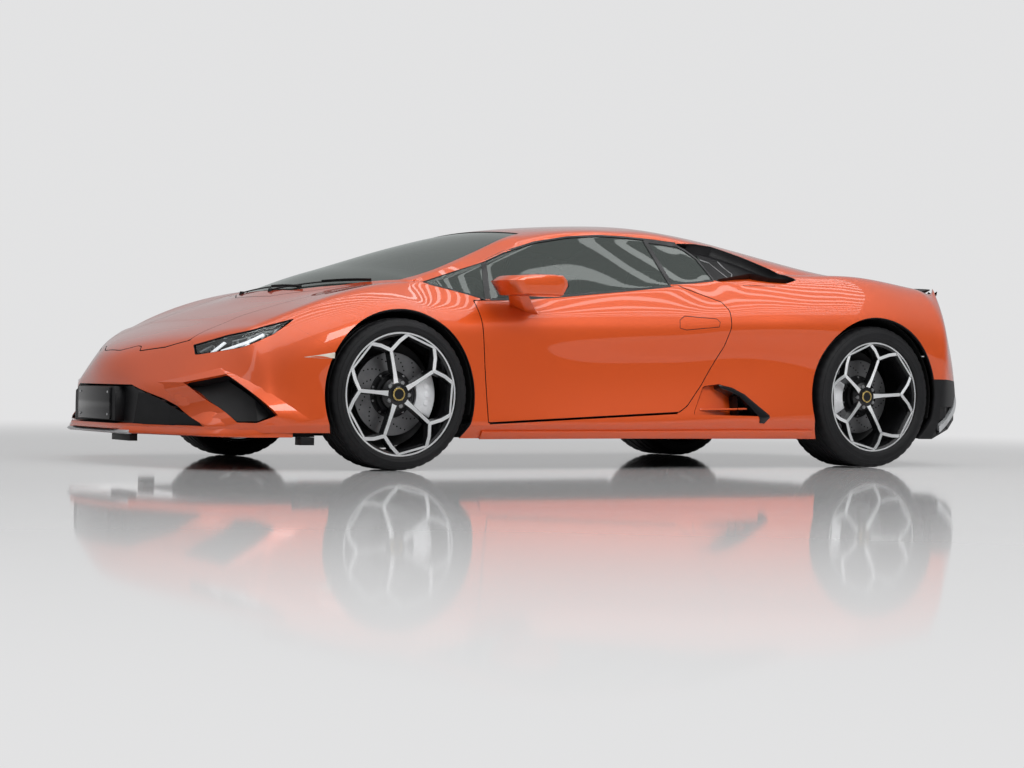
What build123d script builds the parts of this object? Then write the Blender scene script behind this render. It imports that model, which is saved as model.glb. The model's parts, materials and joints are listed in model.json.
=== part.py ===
from build123d import *

# A low mid-engined two-seat supercar: body panels, glass, cabin, running gear and wheels.
# Millimetres, +Z up, origin on the ground under the middle of the car's length and width.
# The nose points to -X and the car's left side is -Y.

import math
import os
from collections import namedtuple

os.makedirs("parts", exist_ok=True)

# ---- overall layout ----
FRONT_AXLE_X = -1210.0
WHEELBASE = 2620.0
REAR_AXLE_X = FRONT_AXLE_X + WHEELBASE
NOSE_X = -2260.0
TAIL_X = 2260.0
FLOOR_Z = 138.0  # underside of the body
FLOOR_THICK = 60.0
REACH = 3000.0  # a cutting prism runs this far past the body

# ---- gaps ----
SHUT_GAP = 7.0  # round a moving panel
DOOR_REAR_GAP = 11.0  # the door's rear edge moves back a little as it swings out
REST_GAP = 0.3  # between two fixed curved seats
RUN_GAP = 0.05  # radial, between a pin and its eye

# ---- thickness of the body's walls ----
WALL_SIDE = 150.0
WALL_TOP = 36.0
WALL_END = 90.0
GLASS = 8.0
GLASS_INNER_Y = 400.0  # every side window lies outside this

# ---- wheels ----
Wheel = namedtuple("Wheel", "axle_x track radius width arch_radius well_inner_y dish")
FRONT = Wheel(FRONT_AXLE_X, 1668.0, 327.5, 245.0, 366.0, 540.0, 25.0)
REAR = Wheel(REAR_AXLE_X, 1620.0, 345.5, 300.0, 387.0, 560.0, 60.0)
RIM_RADIUS = 254.0  # bead seat
RIM_LIP = 14.0  # the lip stands this far above the bead seat
RIM_WALL = 9.0
SPOKES = 5
DISC_RADIUS = 180.0
DISC_THICK = 30.0
DISC_INSET = 80.0  # the disc's middle lies this far inboard of the hub's face
SPINDLE_RADIUS = 30.0
LINER = 6.0
LINER_OUTER_Y = 915.0

# ---- body sections, front to back: x, then (half width, height) of each lengthwise line ----
LINES = ("sill", "rocker", "waist", "shoulder", "belt", "cant", "roof")
Station = namedtuple("Station", ("x",) + LINES + ("top",))
STATIONS = [
    Station(-2300, (520, 138), (600, 185), (90, 320), (70, 380), (50, 425), (36, 436), (20, 440), 445),
    Station(-2150, (740, 138), (765, 188), (420, 345), (300, 415), (150, 486), (100, 495), (50, 499), 501),
    Station(-2060, (810, 138), (835, 190), (630, 352), (525, 440), (350, 512), (240, 526), (120, 536), 541),
    Station(-1850, (885, 138), (922, 195), (868, 350), (815, 490), (710, 585), (560, 606), (320, 618), 623),
    Station(-1550, (905, 138), (948, 200), (950, 400), (930, 590), (790, 712), (600, 717), (350, 725), 730),
    Station(-1210, (905, 138), (952, 200), (958, 460), (945, 680), (775, 802), (640, 808), (560, 815), 874),
    Station(-1005, (900, 138), (950, 202), (945, 450), (928, 655), (760, 817), (740, 824), (688, 848), 938),
    Station(-735, (900, 138), (947, 205), (930, 430), (918, 640), (850, 748), (712, 900), (620, 943), 1022),
    Station(-370, (900, 138), (946, 210), (918, 430), (915, 640), (840, 775), (640, 1030), (520, 1075), 1106),
    Station(0, (900, 138), (946, 215), (912, 450), (915, 650), (825, 815), (615, 1080), (500, 1117), 1147),
    Station(300, (900, 138), (946, 225), (910, 470), (915, 665), (805, 850), (612, 1072), (500, 1122), 1163),
    Station(560, (900, 138), (946, 235), (908, 500), (915, 690), (778, 880), (635, 1035), (510, 1096), 1152),
    Station(1040, (905, 138), (952, 240), (945, 520), (950, 720), (790, 908), (705, 935), (560, 1005), 1080),
    Station(1410, (905, 138), (956, 235), (966, 520), (960, 735), (800, 915), (690, 938), (520, 956), 1002),
    Station(1790, (900, 138), (948, 240), (957, 500), (930, 720), (780, 882), (640, 905), (450, 917), 932),
    Station(2300, (760, 138), (800, 240), (820, 460), (800, 660), (680, 830), (560, 860), (400, 868), 872),
]
LEAST_HALF = (80.0, 70.0, 60.0, 50.0, 40.0, 30.0, 20.0)  # each line keeps this half width when it moves in
# side outline of the whole body (x, z): nose, over the top, tail, and the diffuser's rise
SIDE_OUTLINE = [
    (NOSE_X, 0), (NOSE_X, 160), (-2228, 196), (-2216, 352), (-2148, 500), (-2120, 620), (-2120, 1250),
    (2165, 1250), (2165, 880), (2128, 820), (2150, 640), (2225, 440), (TAIL_X, 330), (2100, 250),
    (1840, 138), (1520, 0),
]
# half of the plan outline (x, half width), nose to tail
PLAN_OUTLINE = [
    (NOSE_X, 0), (-2250, 300), (-2150, 580), (-2060, 790), (-1950, 905), (-1700, 985), (0, 1000),
    (1700, 1000), (1880, 930), (2060, 800), (2180, 620), (2240, 360), (TAIL_X, 0),
]

# ---- lengthwise places where the panels part ----
SPLITTER_TOP_Z = 160.0
SPLITTER_REAR_X = -1700.0
BUMPER_REAR_TOP = (-1690.0, 612.0)
COWL_X = -1085.0  # where the windscreen's base corner meets the belt
ROOF_REAR_X = 648.0
TAIL_PANEL_X = 1830.0
DIFFUSER_TOP_Z = 300.0
FLOOR_RISE = 130.0  # length of the floor that rises ahead of the diffuser
FIREWALL_X = -1010.0
BULKHEAD_X = 575.0
PLATE = 10.0  # inner panels

# ---- doors ----
HINGE_X = -850.0
HINGE_Y = 862.0
DOOR_FRONT = [(-777, 208), (-789, 430), (-800, 640), (-806, 745)]  # front shut line (x, z)
DOOR_FRONT_Y = (947, 930, 918, 850)  # half width of the skin at those points
DOOR_REAR = [(252, 270), (387, 388), (520, 569), (564, 751), (541, 775), (369, 830), (300, 850)]
HINGE_LUG_Z = (505.0, 645.0)  # underside of each hinge lug
LUG_HEIGHT = 30.0
LUG_RADIUS = 20.0
HINGE_PIN_RADIUS = 9.0
LUG_HALF = 11.0  # of a lug's arm
LUG_REACH = 128.0
DOOR_LAP = 60.0  # the door's inner side lies this far inside the sill's
DOOR_OPEN = 62.0  # degrees
DOOR_EDGE_X = -812.0  # the door's inner front corner
DOOR_SILL = [(DOOR_EDGE_X, 208), (-507, 223)]
LUG_ANGLE = -32.0  # of each lug's arm from the car's length, inwards
SILL_TOP = [(-1300, 200), (-777, 200), (252, 262), (1060, 242), (1500, 242)]

# ---- lids, as half outlines in plan (x, half width) ----
BONNET = [(-2148, 0), (-2152, 100), (-2106, 215), (-1993, 491), (-1746, 450), (-1570, 500), (-1395, 581),
          (-1214, 660), (-1214, 590), (-1375, 420), (-1480, 190), (-1502, 0)]
BONNET_LOW_Z = 455.0  # the bonnet's lower edge at the nose
BONNET_HINGE = (-1190.0, 802.0)  # x, z
BONNET_LUG_Y = (605.0, 645.0)
COWL = [(-1493, 0), (-1471, 190), (-1366, 420), (-1207, 580), (-1207, 700), (-1085, 730), (-1085, 0)]
SCREEN = [(-1449, 0), (-1400, 250), (-1280, 480), (-1078, 682), (-735, 608), (-368, 508), (-378, 250), (-380, 0)]
ENGINE_LID = [(668, 0), (668, 300), (1040, 420), (1790, 430), (1900, 400), (1900, 0)]
ENGINE_LID_HINGE = (640.0, 1118.0)
ENGINE_LUG_Y = (240.0, 280.0)
LID_GAP = 9.0
LID_SWEEP = 20.0  # a lid's free edge travels this far outwards while it rises past the body's edge
LID_ROD = 6.0
LID_EYE = 10.0
SLATS_X = (760.0, 1240.0)
SLAT_PITCH = 96.0

# ---- openings in the skin, side view (x, z) ----
LAMP = [(-1993, 521), (-1894, 565), (-1668, 637), (-1878, 515), (-2003, 482)]
LAMP_INNER_Y = 470.0
FRONT_INTAKE = [(-2070, 350), (-1939, 392), (-1789, 231), (-1874, 198), (-1937, 200)]
INTAKE_INNER_Y = 590.0
QUARTER_LIGHT = [(-1010, 820), (-657, 929), (-742, 752)]
REAR_LIGHT = [(314, 862), (312, 1064), (420, 1052), (650, 1000), (560, 890)]
EAR = [(575, 893), (662, 1006), (790, 1012), (1041, 914), (900, 902)]
SIDE_INTAKE = [(486, 389), (622, 330), (756, 255), (600, 260), (440, 300)]
TAIL_LAMP = [(1990, 725), (1990, 775), (2300, 775), (2300, 705)]
# openings in the nose and tail, front view (y, z)
MOUTH = [(-790, 170), (790, 170), (508, 291), (315, 345), (-315, 345), (-508, 291)]
TAIL_MOUTH = [(-620, 560), (620, 560), (620, 770), (-620, 770)]
PLATE_X = (-2236.0, -2120.0)
PLATE_HALF = 195.0
PLATE_Z = (192.0, 341.0)
GRILLE_DEPTH = 40.0
GRILLE_THICK = 20.0
GRILLE_PITCH = 26.0
GRILLE_BAR = 7.0

# ---- wheel faces ----
SPOKE_DEPTH = 36.0
SPOKE_WIDTH = 26.0
HUB_RADIUS = 72.0
SPOKE_NODE = 0.735  # where a spoke forks, as a share of the rim's face radius
SPOKE_SPREAD = 20.5  # half angle of a fork at the rim
FIRST_SPOKE = {"f": 104.0, "r": 76.0}  # angle of one spoke, front and rear
BELL_RADIUS = 88.0  # of a disc's bell

# ---- running gear ----
KINGPIN_Y = 802.0
ARM_RISE = 150.0  # of each wishbone from the axle's height
ARM_RADIUS = 12.0
ARM_SPREAD = 120.0
EYE_RADIUS = 14.0
EYE_HALF = 14.0
KINGPIN_RADIUS = 8.0
KINGPIN_REACH = 90.0  # each pin ends this far from the axle's height
SHAFT_RADIUS = 24.0
UPRIGHT_HALF = 30.0
UPRIGHT_THICK = 46.0
DISC_AIR = 6.0  # between a disc and what stands round it
CALIPER_INNER = 112.0
CALIPER_OUTER = 205.0
CALIPER_HALF = 92.0
GEARBOX_HALF = 230.0
ENGINE_HALF = 290.0

# ---- cabin ----
SEAT_Y = 372.0
SEAT_HALF = 245.0
BOLSTER = 60.0
WHEEL_CENTRE = (-490.0, -SEAT_Y, 700.0)
WHEEL_TILT = 22.0
WHEEL_RADIUS = 172.0
REAR_SCREEN_Z = 880.0

# ---- tail ----
TIP_Y = (-205.0, -95.0, 95.0, 205.0)
TIP_Z = 415.0
TIP_RADIUS = 46.0
TIP_WALL = 5.0
FIN_Y = (-500.0, -300.0, -110.0, 110.0, 300.0, 500.0)
FIN_HALF = 5.0
FINS = [(1840, FLOOR_Z), (2235, 190), (2235, 325), (2100, 250)]  # side view of the fins' space

MIN_PIECE = 10000.0  # mm3; what is smaller is a sliver left by the cuts


def line_point(name, x):
    """(half width, height) of a lengthwise line at x, straight between the stations."""
    for front, back in zip(STATIONS, STATIONS[1:]):
        if front.x <= x <= back.x:
            share = (x - front.x) / (back.x - front.x)
            before, after = getattr(front, name), getattr(back, name)
            return [a * (1 - share) + b * share for a, b in zip(before, after)]
    raise ValueError(f"{x} is off the body")


def line_run(name, start, end, lift=0.0):
    """The (x, z) points of a lengthwise line from start to end, lifted by lift."""
    inner = [s.x for s in STATIONS if min(start, end) < s.x < max(start, end)]
    run = sorted([start, *inner, end], reverse=start > end)
    return [(x, line_point(name, x)[1] + lift) for x in run]


def section_points(station, side, top, floor):
    """The section's points on +Y, moved in by the side, top and floor thickness."""
    moves = {
        "sill": (side, -floor),
        "rocker": (side, -0.3 * floor),
        "waist": (side, 0.0),
        "shoulder": (side, 0.3 * top),
        "belt": (0.5 * side + 0.2 * top, 0.8 * top),
        "cant": (0.8 * top, 0.7 * top),
        "roof": (0.3 * top, top),
    }
    return [
        (max(getattr(station, name)[0] - moves[name][0], least), getattr(station, name)[1] - moves[name][1])
        for name, least in zip(LINES, LEAST_HALF)
    ]


def body_form(side, top, floor, end):
    """The body's solid form, moved in by the given thicknesses."""
    with BuildPart() as form:
        for station in STATIONS:
            right = section_points(station, side, top, floor)
            left = [(-y, z) for y, z in reversed(right)]
            with BuildSketch(Plane.YZ.offset(station.x)):
                with BuildLine():
                    Polyline(*right)
                    ThreePointArc(right[-1], (0, station.top - top), left[0])
                    Polyline(*left)
                    Line(left[-1], right[0])
                make_face()
        loft(ruled=True)
        with BuildSketch(Plane.XZ):
            Polygon(*SIDE_OUTLINE, align=None)
            if end:
                offset(amount=-end, kind=Kind.INTERSECTION)
        extrude(amount=REACH, both=True, mode=Mode.INTERSECT)
        with BuildSketch(Plane.XY):
            Polygon(*PLAN_OUTLINE[:-1], *[(x, -y) for x, y in reversed(PLAN_OUTLINE[1:])], align=None)
            if end:
                offset(amount=-end, kind=Kind.INTERSECTION)
        extrude(amount=REACH, both=True, mode=Mode.INTERSECT)
    return form.part


def side_prism(points, near=0.0, far=REACH, side=0, grow=0.0):
    """A prism on a side-view outline, from near to far off the middle plane: side -1, +1 or 0 for both."""
    with BuildPart() as prism:
        for sign in (side,) if side else (-1, 1):
            with BuildSketch(Plane.XZ.offset(-sign * near)):
                Polygon(*points, align=None)
                if grow:
                    offset(amount=grow, kind=Kind.INTERSECTION)
            extrude(amount=-sign * (far - near))
    return prism.part


def plan_prism(half, low=0.0, high=REACH, grow=0.0):
    """A prism on a plan outline mirrored about the middle plane, from low to high."""
    mirrored = [(x, -y) for x, y in reversed(half) if y]
    with BuildPart() as prism:
        with BuildSketch(Plane.XY.offset(low)):
            Polygon(*half, *mirrored, align=None)
            if grow:
                offset(amount=grow, kind=Kind.INTERSECTION)
        extrude(amount=high - low)
    return prism.part


def block(x, y, z):
    """A box between the pairs of limits x, y and z."""
    with BuildPart() as box:
        with Locations(((x[0] + x[1]) / 2, (y[0] + y[1]) / 2, (z[0] + z[1]) / 2)):
            Box(x[1] - x[0], y[1] - y[0], z[1] - z[0])
    return box.part


def cross_cylinder(radius, x, z, y):
    """A cylinder along Y between the limits y."""
    with BuildPart() as rod:
        with BuildSketch(Plane.XZ.offset(-y[0])):
            with Locations((x, z)):
                Circle(radius)
        extrude(amount=-(y[1] - y[0]))
    return rod.part


def mirrored(solid):
    """The same solid on the other side of the car."""
    return mirror(solid, about=Plane.XZ)


def both_sides(solid):
    """A solid and its mirror image."""
    return Compound(children=[*solid.solids(), *mirrored(solid).solids()])


def save(label, solid):
    """Write one piece as its own file, without slivers left by the cuts."""
    kept = [s for s in solid.solids() if s.volume > MIN_PIECE]
    piece = Part(children=kept) if len(kept) > 1 else kept[0]
    piece.label = label
    export_step(piece, f"parts/{label}.step")
    return piece


def front_prism(points, x):
    """A prism on a front-view outline (y, z) between the limits x."""
    with BuildPart() as prism:
        with BuildSketch(Plane.YZ.offset(x[0])):
            Polygon(*points, align=None)
        extrude(amount=x[1] - x[0])
    return prism.part


def bar(start, end, radius):
    """A round bar between two points."""
    start, end = Vector(*start), Vector(*end)
    with BuildPart() as rod:
        with BuildSketch(Plane(origin=start, z_dir=end - start)):
            Circle(radius)
        extrude(amount=(end - start).length)
    return rod.part


# ---- the body's forms ----
INNER = body_form(WALL_SIDE, WALL_TOP, FLOOR_THICK, WALL_END)
OUTER = body_form(0, 0, 0, 0)
SHELL = OUTER - INNER
UNDER_GLASS = body_form(GLASS, GLASS, GLASS, GLASS)
GRILLE_FRONT = body_form(GRILLE_DEPTH, GRILLE_DEPTH, GRILLE_DEPTH, GRILLE_DEPTH)
GRILLE_BACK = body_form(*[GRILLE_DEPTH + GRILLE_THICK] * 4)

TUB_HALF = STATIONS[8].sill[0] - WALL_SIDE
FLOOR_TOP = FLOOR_Z + FLOOR_THICK
WELLS = both_sides(
    cross_cylinder(FRONT.arch_radius, FRONT.axle_x, FRONT.radius, (FRONT.well_inner_y, REACH))
) + both_sides(cross_cylinder(REAR.arch_radius, REAR.axle_x, REAR.radius, (REAR.well_inner_y, REACH)))
bonnet_cut = plan_prism(BONNET, low=BONNET_LOW_Z)
bonnet_clear = plan_prism(BONNET, low=BONNET_LOW_Z - LID_GAP, grow=LID_GAP)
bonnet_clear = bonnet_clear + Pos(-LID_SWEEP, 0, -LID_GAP) * bonnet_cut
lid_cut = plan_prism(ENGINE_LID, low=700)
lid_clear = plan_prism([(ROOF_REAR_X, 0), (ROOF_REAR_X, 310), *ENGINE_LID[2:]], low=700, grow=LID_GAP)
lid_clear = lid_clear + Pos(LID_SWEEP, 0, 0) * lid_cut
lid_clear = lid_clear & block((ROOF_REAR_X, REACH), (-REACH, REACH), (700, REACH))
screen_cut = plan_prism(SCREEN, low=600)
lamp_cut = side_prism(LAMP, near=LAMP_INNER_Y)
intake_mouth = side_prism(FRONT_INTAKE, near=INTAKE_INNER_Y)
rear_light_cut = side_prism(REAR_LIGHT, near=GLASS_INNER_Y)
quarter_cut = side_prism(QUARTER_LIGHT, near=GLASS_INNER_Y)
ear_cut = side_prism(EAR, near=520)
intake_cut = side_prism(SIDE_INTAKE, near=TUB_HALF)
tail_lamp_cut = side_prism(TAIL_LAMP, near=640)
mouth_cut = front_prism(MOUTH, (NOSE_X - 50, -1990))
tail_mouth_cut = front_prism(TAIL_MOUTH, (1990, TAIL_X + 50))
floor_zone = block((-REACH, REACH), (-TUB_HALF, TUB_HALF), (0, FLOOR_TOP))
floor_zone = floor_zone + block((TAIL_PANEL_X - FLOOR_RISE, TAIL_PANEL_X), (-TUB_HALF, TUB_HALF), (0, DIFFUSER_TOP_Z))
sill_zone = side_prism(SILL_TOP + [(1500, 0), (-1300, 0)], near=TUB_HALF)
bumper_zone = side_prism([(-REACH, 0), (-1300, 0), (-1534, 505), BUMPER_REAR_TOP, *LAMP[3:], LAMP[0],
                          (LAMP[0][0], 700), (-REACH, 700)])
upper_zone = side_prism([*line_run("belt", COWL_X, ROOF_REAR_X), (ROOF_REAR_X, 1300), (COWL_X, 1300)])
cowl_zone = plan_prism(COWL, low=600)

# ---- doors ----
# both shut faces at the front are turned about the hinge's pin, so that they slide past each other
pin_radii = [math.hypot(x - HINGE_X, y - HINGE_Y) for (x, _), y in zip(DOOR_FRONT, DOOR_FRONT_Y)]


def hinge_turn(grow, sign):
    """The solid inside the front shut line's radii about the hinge's pin, plus grow."""
    low, high = FLOOR_Z - 50, DOOR_FRONT[-1][1] + 40
    heights = [low, *[z for _, z in DOOR_FRONT[1:-1]], high]
    with BuildPart() as turn:
        with BuildSketch(Plane.XZ):
            Polygon((0, low), *[(r + grow, z) for r, z in zip(pin_radii, heights)], (0, high), align=None)
        revolve(axis=Axis.Z)
    return Pos(HINGE_X, sign * HINGE_Y, 0) * turn.part


def lug_sweep(low, high, sign):
    """The space that a lug sweeps from shut to open, with SHUT_GAP round it, between two heights."""
    side = LUG_HALF + SHUT_GAP
    edges = []
    for angle, turn in ((LUG_ANGLE, -90), (LUG_ANGLE + DOOR_OPEN, 90)):
        along, across = math.radians(angle), math.radians(angle + turn)
        foot = Vector(side * math.cos(across), -side * math.sin(across))
        edges.append((foot, foot + Vector(LUG_REACH * math.cos(along), -LUG_REACH * math.sin(along))))
    with BuildPart() as sweep:
        with BuildSketch(Plane.XY.offset(low)):
            Circle(LUG_RADIUS + SHUT_GAP)
            Polygon((0, 0), edges[0][0], edges[0][1], (1.3 * LUG_REACH, 0), edges[1][1], edges[1][0], align=None)
        extrude(amount=high - low)
    solid = sweep.part if sign < 0 else mirrored(sweep.part)
    return Pos(HINGE_X, sign * HINGE_Y, 0) * solid


def door(sign):
    """One door: the skin and inner panel as one thick wall, with two lugs round the hinge's pins."""
    outline = [*DOOR_SILL, *DOOR_REAR, *line_run("belt", 290, -735), (DOOR_EDGE_X, 745)]
    panel = (SHELL & side_prism(outline, near=TUB_HALF - DOOR_LAP, side=sign)) - hinge_turn(SHUT_GAP, sign)
    for low in HINGE_LUG_Z:
        with BuildPart() as lug:
            with BuildSketch(Plane.XY.offset(low)):
                Circle(LUG_RADIUS)
                with PolarLocations(0, 1, start_angle=sign * LUG_ANGLE):
                    Rectangle(LUG_REACH, 2 * LUG_HALF, align=(Align.MIN, Align.CENTER))
                Circle(HINGE_PIN_RADIUS + RUN_GAP, mode=Mode.SUBTRACT)
            extrude(amount=LUG_HEIGHT)
        panel = panel + Pos(HINGE_X, sign * HINGE_Y, 0) * lug.part
    return panel


door_clear = side_prism([*DOOR_SILL, *DOOR_REAR, (DOOR_REAR[-1][0], 1300), (DOOR_EDGE_X, 1300)],
                        near=TUB_HALF - DOOR_LAP, grow=DOOR_REAR_GAP)
hinge_posts = hinge_turn(0, -1) + hinge_turn(0, 1)
door_clear = door_clear - hinge_posts
door_window = [(-728, 750), *line_run("belt", -700, 300), (298, line_point("cant", 298)[1] - SHUT_GAP),
               *line_run("cant", 290, -645, -SHUT_GAP)]
glass_clear = side_prism([(-736, 735), (308, 800), (308, line_point("cant", 308)[1]),
                          *line_run("cant", 300, -657)], near=GLASS_INNER_Y)


def hinge_slots():
    """The slots in the posts that the doors' lugs swing in."""
    slots = None
    for sign in (-1, 1):
        for low in HINGE_LUG_Z:
            slot = lug_sweep(low - SHUT_GAP, low + LUG_HEIGHT + SHUT_GAP, sign)
            pin = Pos(HINGE_X, sign * HINGE_Y, 0) * Pos(0, 0, low) * Cylinder(HINGE_PIN_RADIUS, LUG_HEIGHT + 20)
            slot = slot - Pos(0, 0, LUG_HEIGHT / 2) * pin
            slots = slot if slots is None else slots + slot
    return slots


# ---- lid hinges: a rod in the body's edge and an eye on the lid ----
def lid_rods(hinge, lug_y):
    """The rods across the notches on both sides."""
    return both_sides(cross_cylinder(LID_ROD, *hinge, (lug_y[0] - 8, lug_y[1] + 8)))


def lid_notches(hinge, lug_y, towards):
    """The notches for the lid's eyes, open towards the lid (-1 to the nose, +1 to the tail)."""
    ends = sorted((hinge[0] - towards * (LID_EYE + 6), hinge[0] + towards * 40))
    return both_sides(block(ends, (lug_y[0] - 2, lug_y[1] + 2), (hinge[1] - 60, hinge[1] + 60)))


def lid_eyes(hinge, lug_y, towards):
    """The lid's eyes and their arms, bored for the rods."""
    ends = sorted((hinge[0], hinge[0] + towards * 42))
    arm = block(ends, (lug_y[0] + 4, lug_y[1] - 4), (hinge[1] - LID_EYE, hinge[1] + 2))
    eye = cross_cylinder(LID_EYE, *hinge, (lug_y[0] + 4, lug_y[1] - 4)) + arm
    return both_sides(eye - cross_cylinder(LID_ROD + RUN_GAP, *hinge, lug_y))


# ---- fixed body panels ----
def cabin_frame():
    """The roof, screen pillars, cowl and rear posts in one frame."""
    frame = (SHELL & (cowl_zone + upper_zone)) - bonnet_clear - lid_clear
    frame = frame - screen_cut - quarter_cut - rear_light_cut - glass_clear - ear_cut
    frame = frame - lid_notches(BONNET_HINGE, BONNET_LUG_Y, -1) - lid_notches(ENGINE_LID_HINGE, ENGINE_LUG_Y, 1)
    return frame + lid_rods(BONNET_HINGE, BONNET_LUG_Y) + lid_rods(ENGINE_LID_HINGE, ENGINE_LUG_Y)


def splitter():
    """The flat lip under the nose."""
    plate = OUTER & block((-REACH, -1300), (-REACH, REACH), (0, SPLITTER_TOP_Z))
    return plate - WELLS - block((SPLITTER_REAR_X, 0), (-TUB_HALF, TUB_HALF), (0, 400))


def front_bumper():
    """The nose, from wheel arch to wheel arch, open at its mouths."""
    bumper = (SHELL & bumper_zone) - WELLS - bonnet_clear - lamp_cut - mouth_cut - intake_mouth
    bumper = bumper - block((-REACH, -1300), (-REACH, REACH), (0, SPLITTER_TOP_Z))
    return bumper - block((SPLITTER_REAR_X, 0), (-TUB_HALF, TUB_HALF), (0, 400))


def bars(x, y, z):
    """Level gaps to cut between a grille's bars."""
    gaps = []
    level = z[0]
    while level < z[1]:
        gaps.append(block(x, y, (level, level + GRILLE_PITCH - GRILLE_BAR)))
        level += GRILLE_PITCH
    return gaps


def grille(opening, core, x, y, z):
    """A barred grille set back in its opening; the gaps between its bars are cut inside the core form."""
    layer = (GRILLE_FRONT - GRILLE_BACK) & opening
    for gap in bars(x, y, z):
        layer = layer - (gap & core)
    return layer


def front_fenders():
    """The front wings, with the posts that carry the doors."""
    wing = SHELL & block((-2100, -700), (-REACH, REACH), (FLOOR_Z, REACH))
    wing = wing - bumper_zone - bonnet_clear - lamp_cut - cowl_zone - upper_zone - WELLS
    return wing - sill_zone - floor_zone - door_clear - hinge_slots()


def rear_quarters():
    """The rear wings, from the doors to the tail, with the posts beside the engine lid."""
    wing = SHELL & block((256, TAIL_PANEL_X), (-REACH, REACH), (FLOOR_Z, REACH))
    wing = wing - door_clear - sill_zone - upper_zone - lid_clear - ear_cut - intake_cut - WELLS
    return wing - floor_zone - rear_light_cut


def tub():
    """The floor with its inner wings, firewall and rear bulkhead."""
    floor = (SHELL & floor_zone & block((SPLITTER_REAR_X, TAIL_PANEL_X), (-REACH, REACH), (0, 400))) - WELLS
    for wheel in (FRONT, REAR):
        spread = wheel.arch_radius + 10
        y = (wheel.well_inner_y - PLATE, wheel.well_inner_y)
        top = wheel.radius + wheel.arch_radius
        wing = block((wheel.axle_x - spread, wheel.axle_x + spread), y, (FLOOR_TOP, top))
        if wheel is REAR:
            wing = wing - cross_cylinder(45, wheel.axle_x, wheel.radius, (0, REACH))
        floor = floor + (both_sides(wing) & INNER)
    wall = block((FIREWALL_X, FIREWALL_X + PLATE), (-FRONT.well_inner_y, FRONT.well_inner_y), (FLOOR_TOP, 700))
    wall = wall + block((FIREWALL_X, FIREWALL_X + PLATE), (-REACH, REACH), (700, REACH))
    bulkhead = block((BULKHEAD_X, BULKHEAD_X + PLATE), (-REACH, REACH), (FLOOR_TOP, REAR_SCREEN_Z))
    return floor + (wall & INNER) + (bulkhead & INNER)


def arch_liners():
    """The liner over each wheel, a little inside the arch."""
    liners = []
    for wheel in (FRONT, REAR):
        y = (wheel.well_inner_y, LINER_OUTER_Y)
        outer = wheel.arch_radius - REST_GAP
        ring = cross_cylinder(outer, wheel.axle_x, wheel.radius, y)
        ring = ring - cross_cylinder(outer - LINER, wheel.axle_x, wheel.radius, (0, REACH))
        ring = ring - block((-REACH, REACH), (0, REACH), (0, SILL_TOP[-1][1]))
        liners.append(ring & OUTER)
    return both_sides(liners[0]) + both_sides(liners[1])


def engine_lid():
    """The louvred lid over the engine."""
    lid = (SHELL & lid_cut) + lid_eyes(ENGINE_LID_HINGE, ENGINE_LUG_Y, 1)
    x = SLATS_X[0]
    while x < SLATS_X[1]:
        lid = lid - block((x, x + SLAT_PITCH * 0.4), (-300, 300), (800, REACH))
        x += SLAT_PITCH
    return lid


def rear_bumper():
    """The tail, open for the grille, the lamps and the exhaust tips."""
    tail = SHELL & block((TAIL_PANEL_X, REACH), (-REACH, REACH), (DIFFUSER_TOP_Z, REACH))
    tail = tail - WELLS - lid_clear - tail_lamp_cut - tail_mouth_cut
    for y in TIP_Y:
        tail = tail - bar((TAIL_PANEL_X, y, TIP_Z), (TAIL_X + 50, y, TIP_Z), TIP_RADIUS + REST_GAP)
    return tail


def diffuser():
    """The rising underside of the tail with its fins."""
    under = SHELL & block((TAIL_PANEL_X, REACH), (-REACH, REACH), (0, DIFFUSER_TOP_Z))
    fin_zone = side_prism(FINS) - OUTER
    fins = None
    for y in FIN_Y:
        fin = block((1900, 2235), (y - FIN_HALF, y + FIN_HALF), (FLOOR_Z + 12, DIFFUSER_TOP_Z)) & fin_zone
        fins = fin if fins is None else fins + fin
    return (under - WELLS) + fins


def exhaust_tips():
    """Four round tips in the tail."""
    tips = []
    for y in TIP_Y:
        pipe = bar((2080, y, TIP_Z), (TAIL_X - 12, y, TIP_Z), TIP_RADIUS)
        tips.append(pipe - bar((2095, y, TIP_Z), (TAIL_X, y, TIP_Z), TIP_RADIUS - TIP_WALL))
    return Compound(children=tips)


def plate_holder():
    """The blank dark plate carrier in front of the nose's mouth."""
    carrier = block(PLATE_X, (-PLATE_HALF, PLATE_HALF), PLATE_Z)
    return carrier - GRILLE_FRONT


# ---- glass and lamps ----
def windscreen():
    """The windscreen, as a layer of the body's form."""
    return (OUTER - UNDER_GLASS) & screen_cut


def quarter_glass():
    """The fixed side windows ahead of and behind the doors."""
    return (OUTER - UNDER_GLASS) & (quarter_cut + rear_light_cut)


def door_glass(sign):
    """One door's window."""
    return (OUTER - UNDER_GLASS) & side_prism(door_window, near=GLASS_INNER_Y, side=sign)


def rear_screen():
    """The upright screen between the cabin and the engine."""
    return block((BULKHEAD_X, BULKHEAD_X + GLASS), (-REACH, REACH), (REAR_SCREEN_Z, REACH)) & INNER


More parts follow.
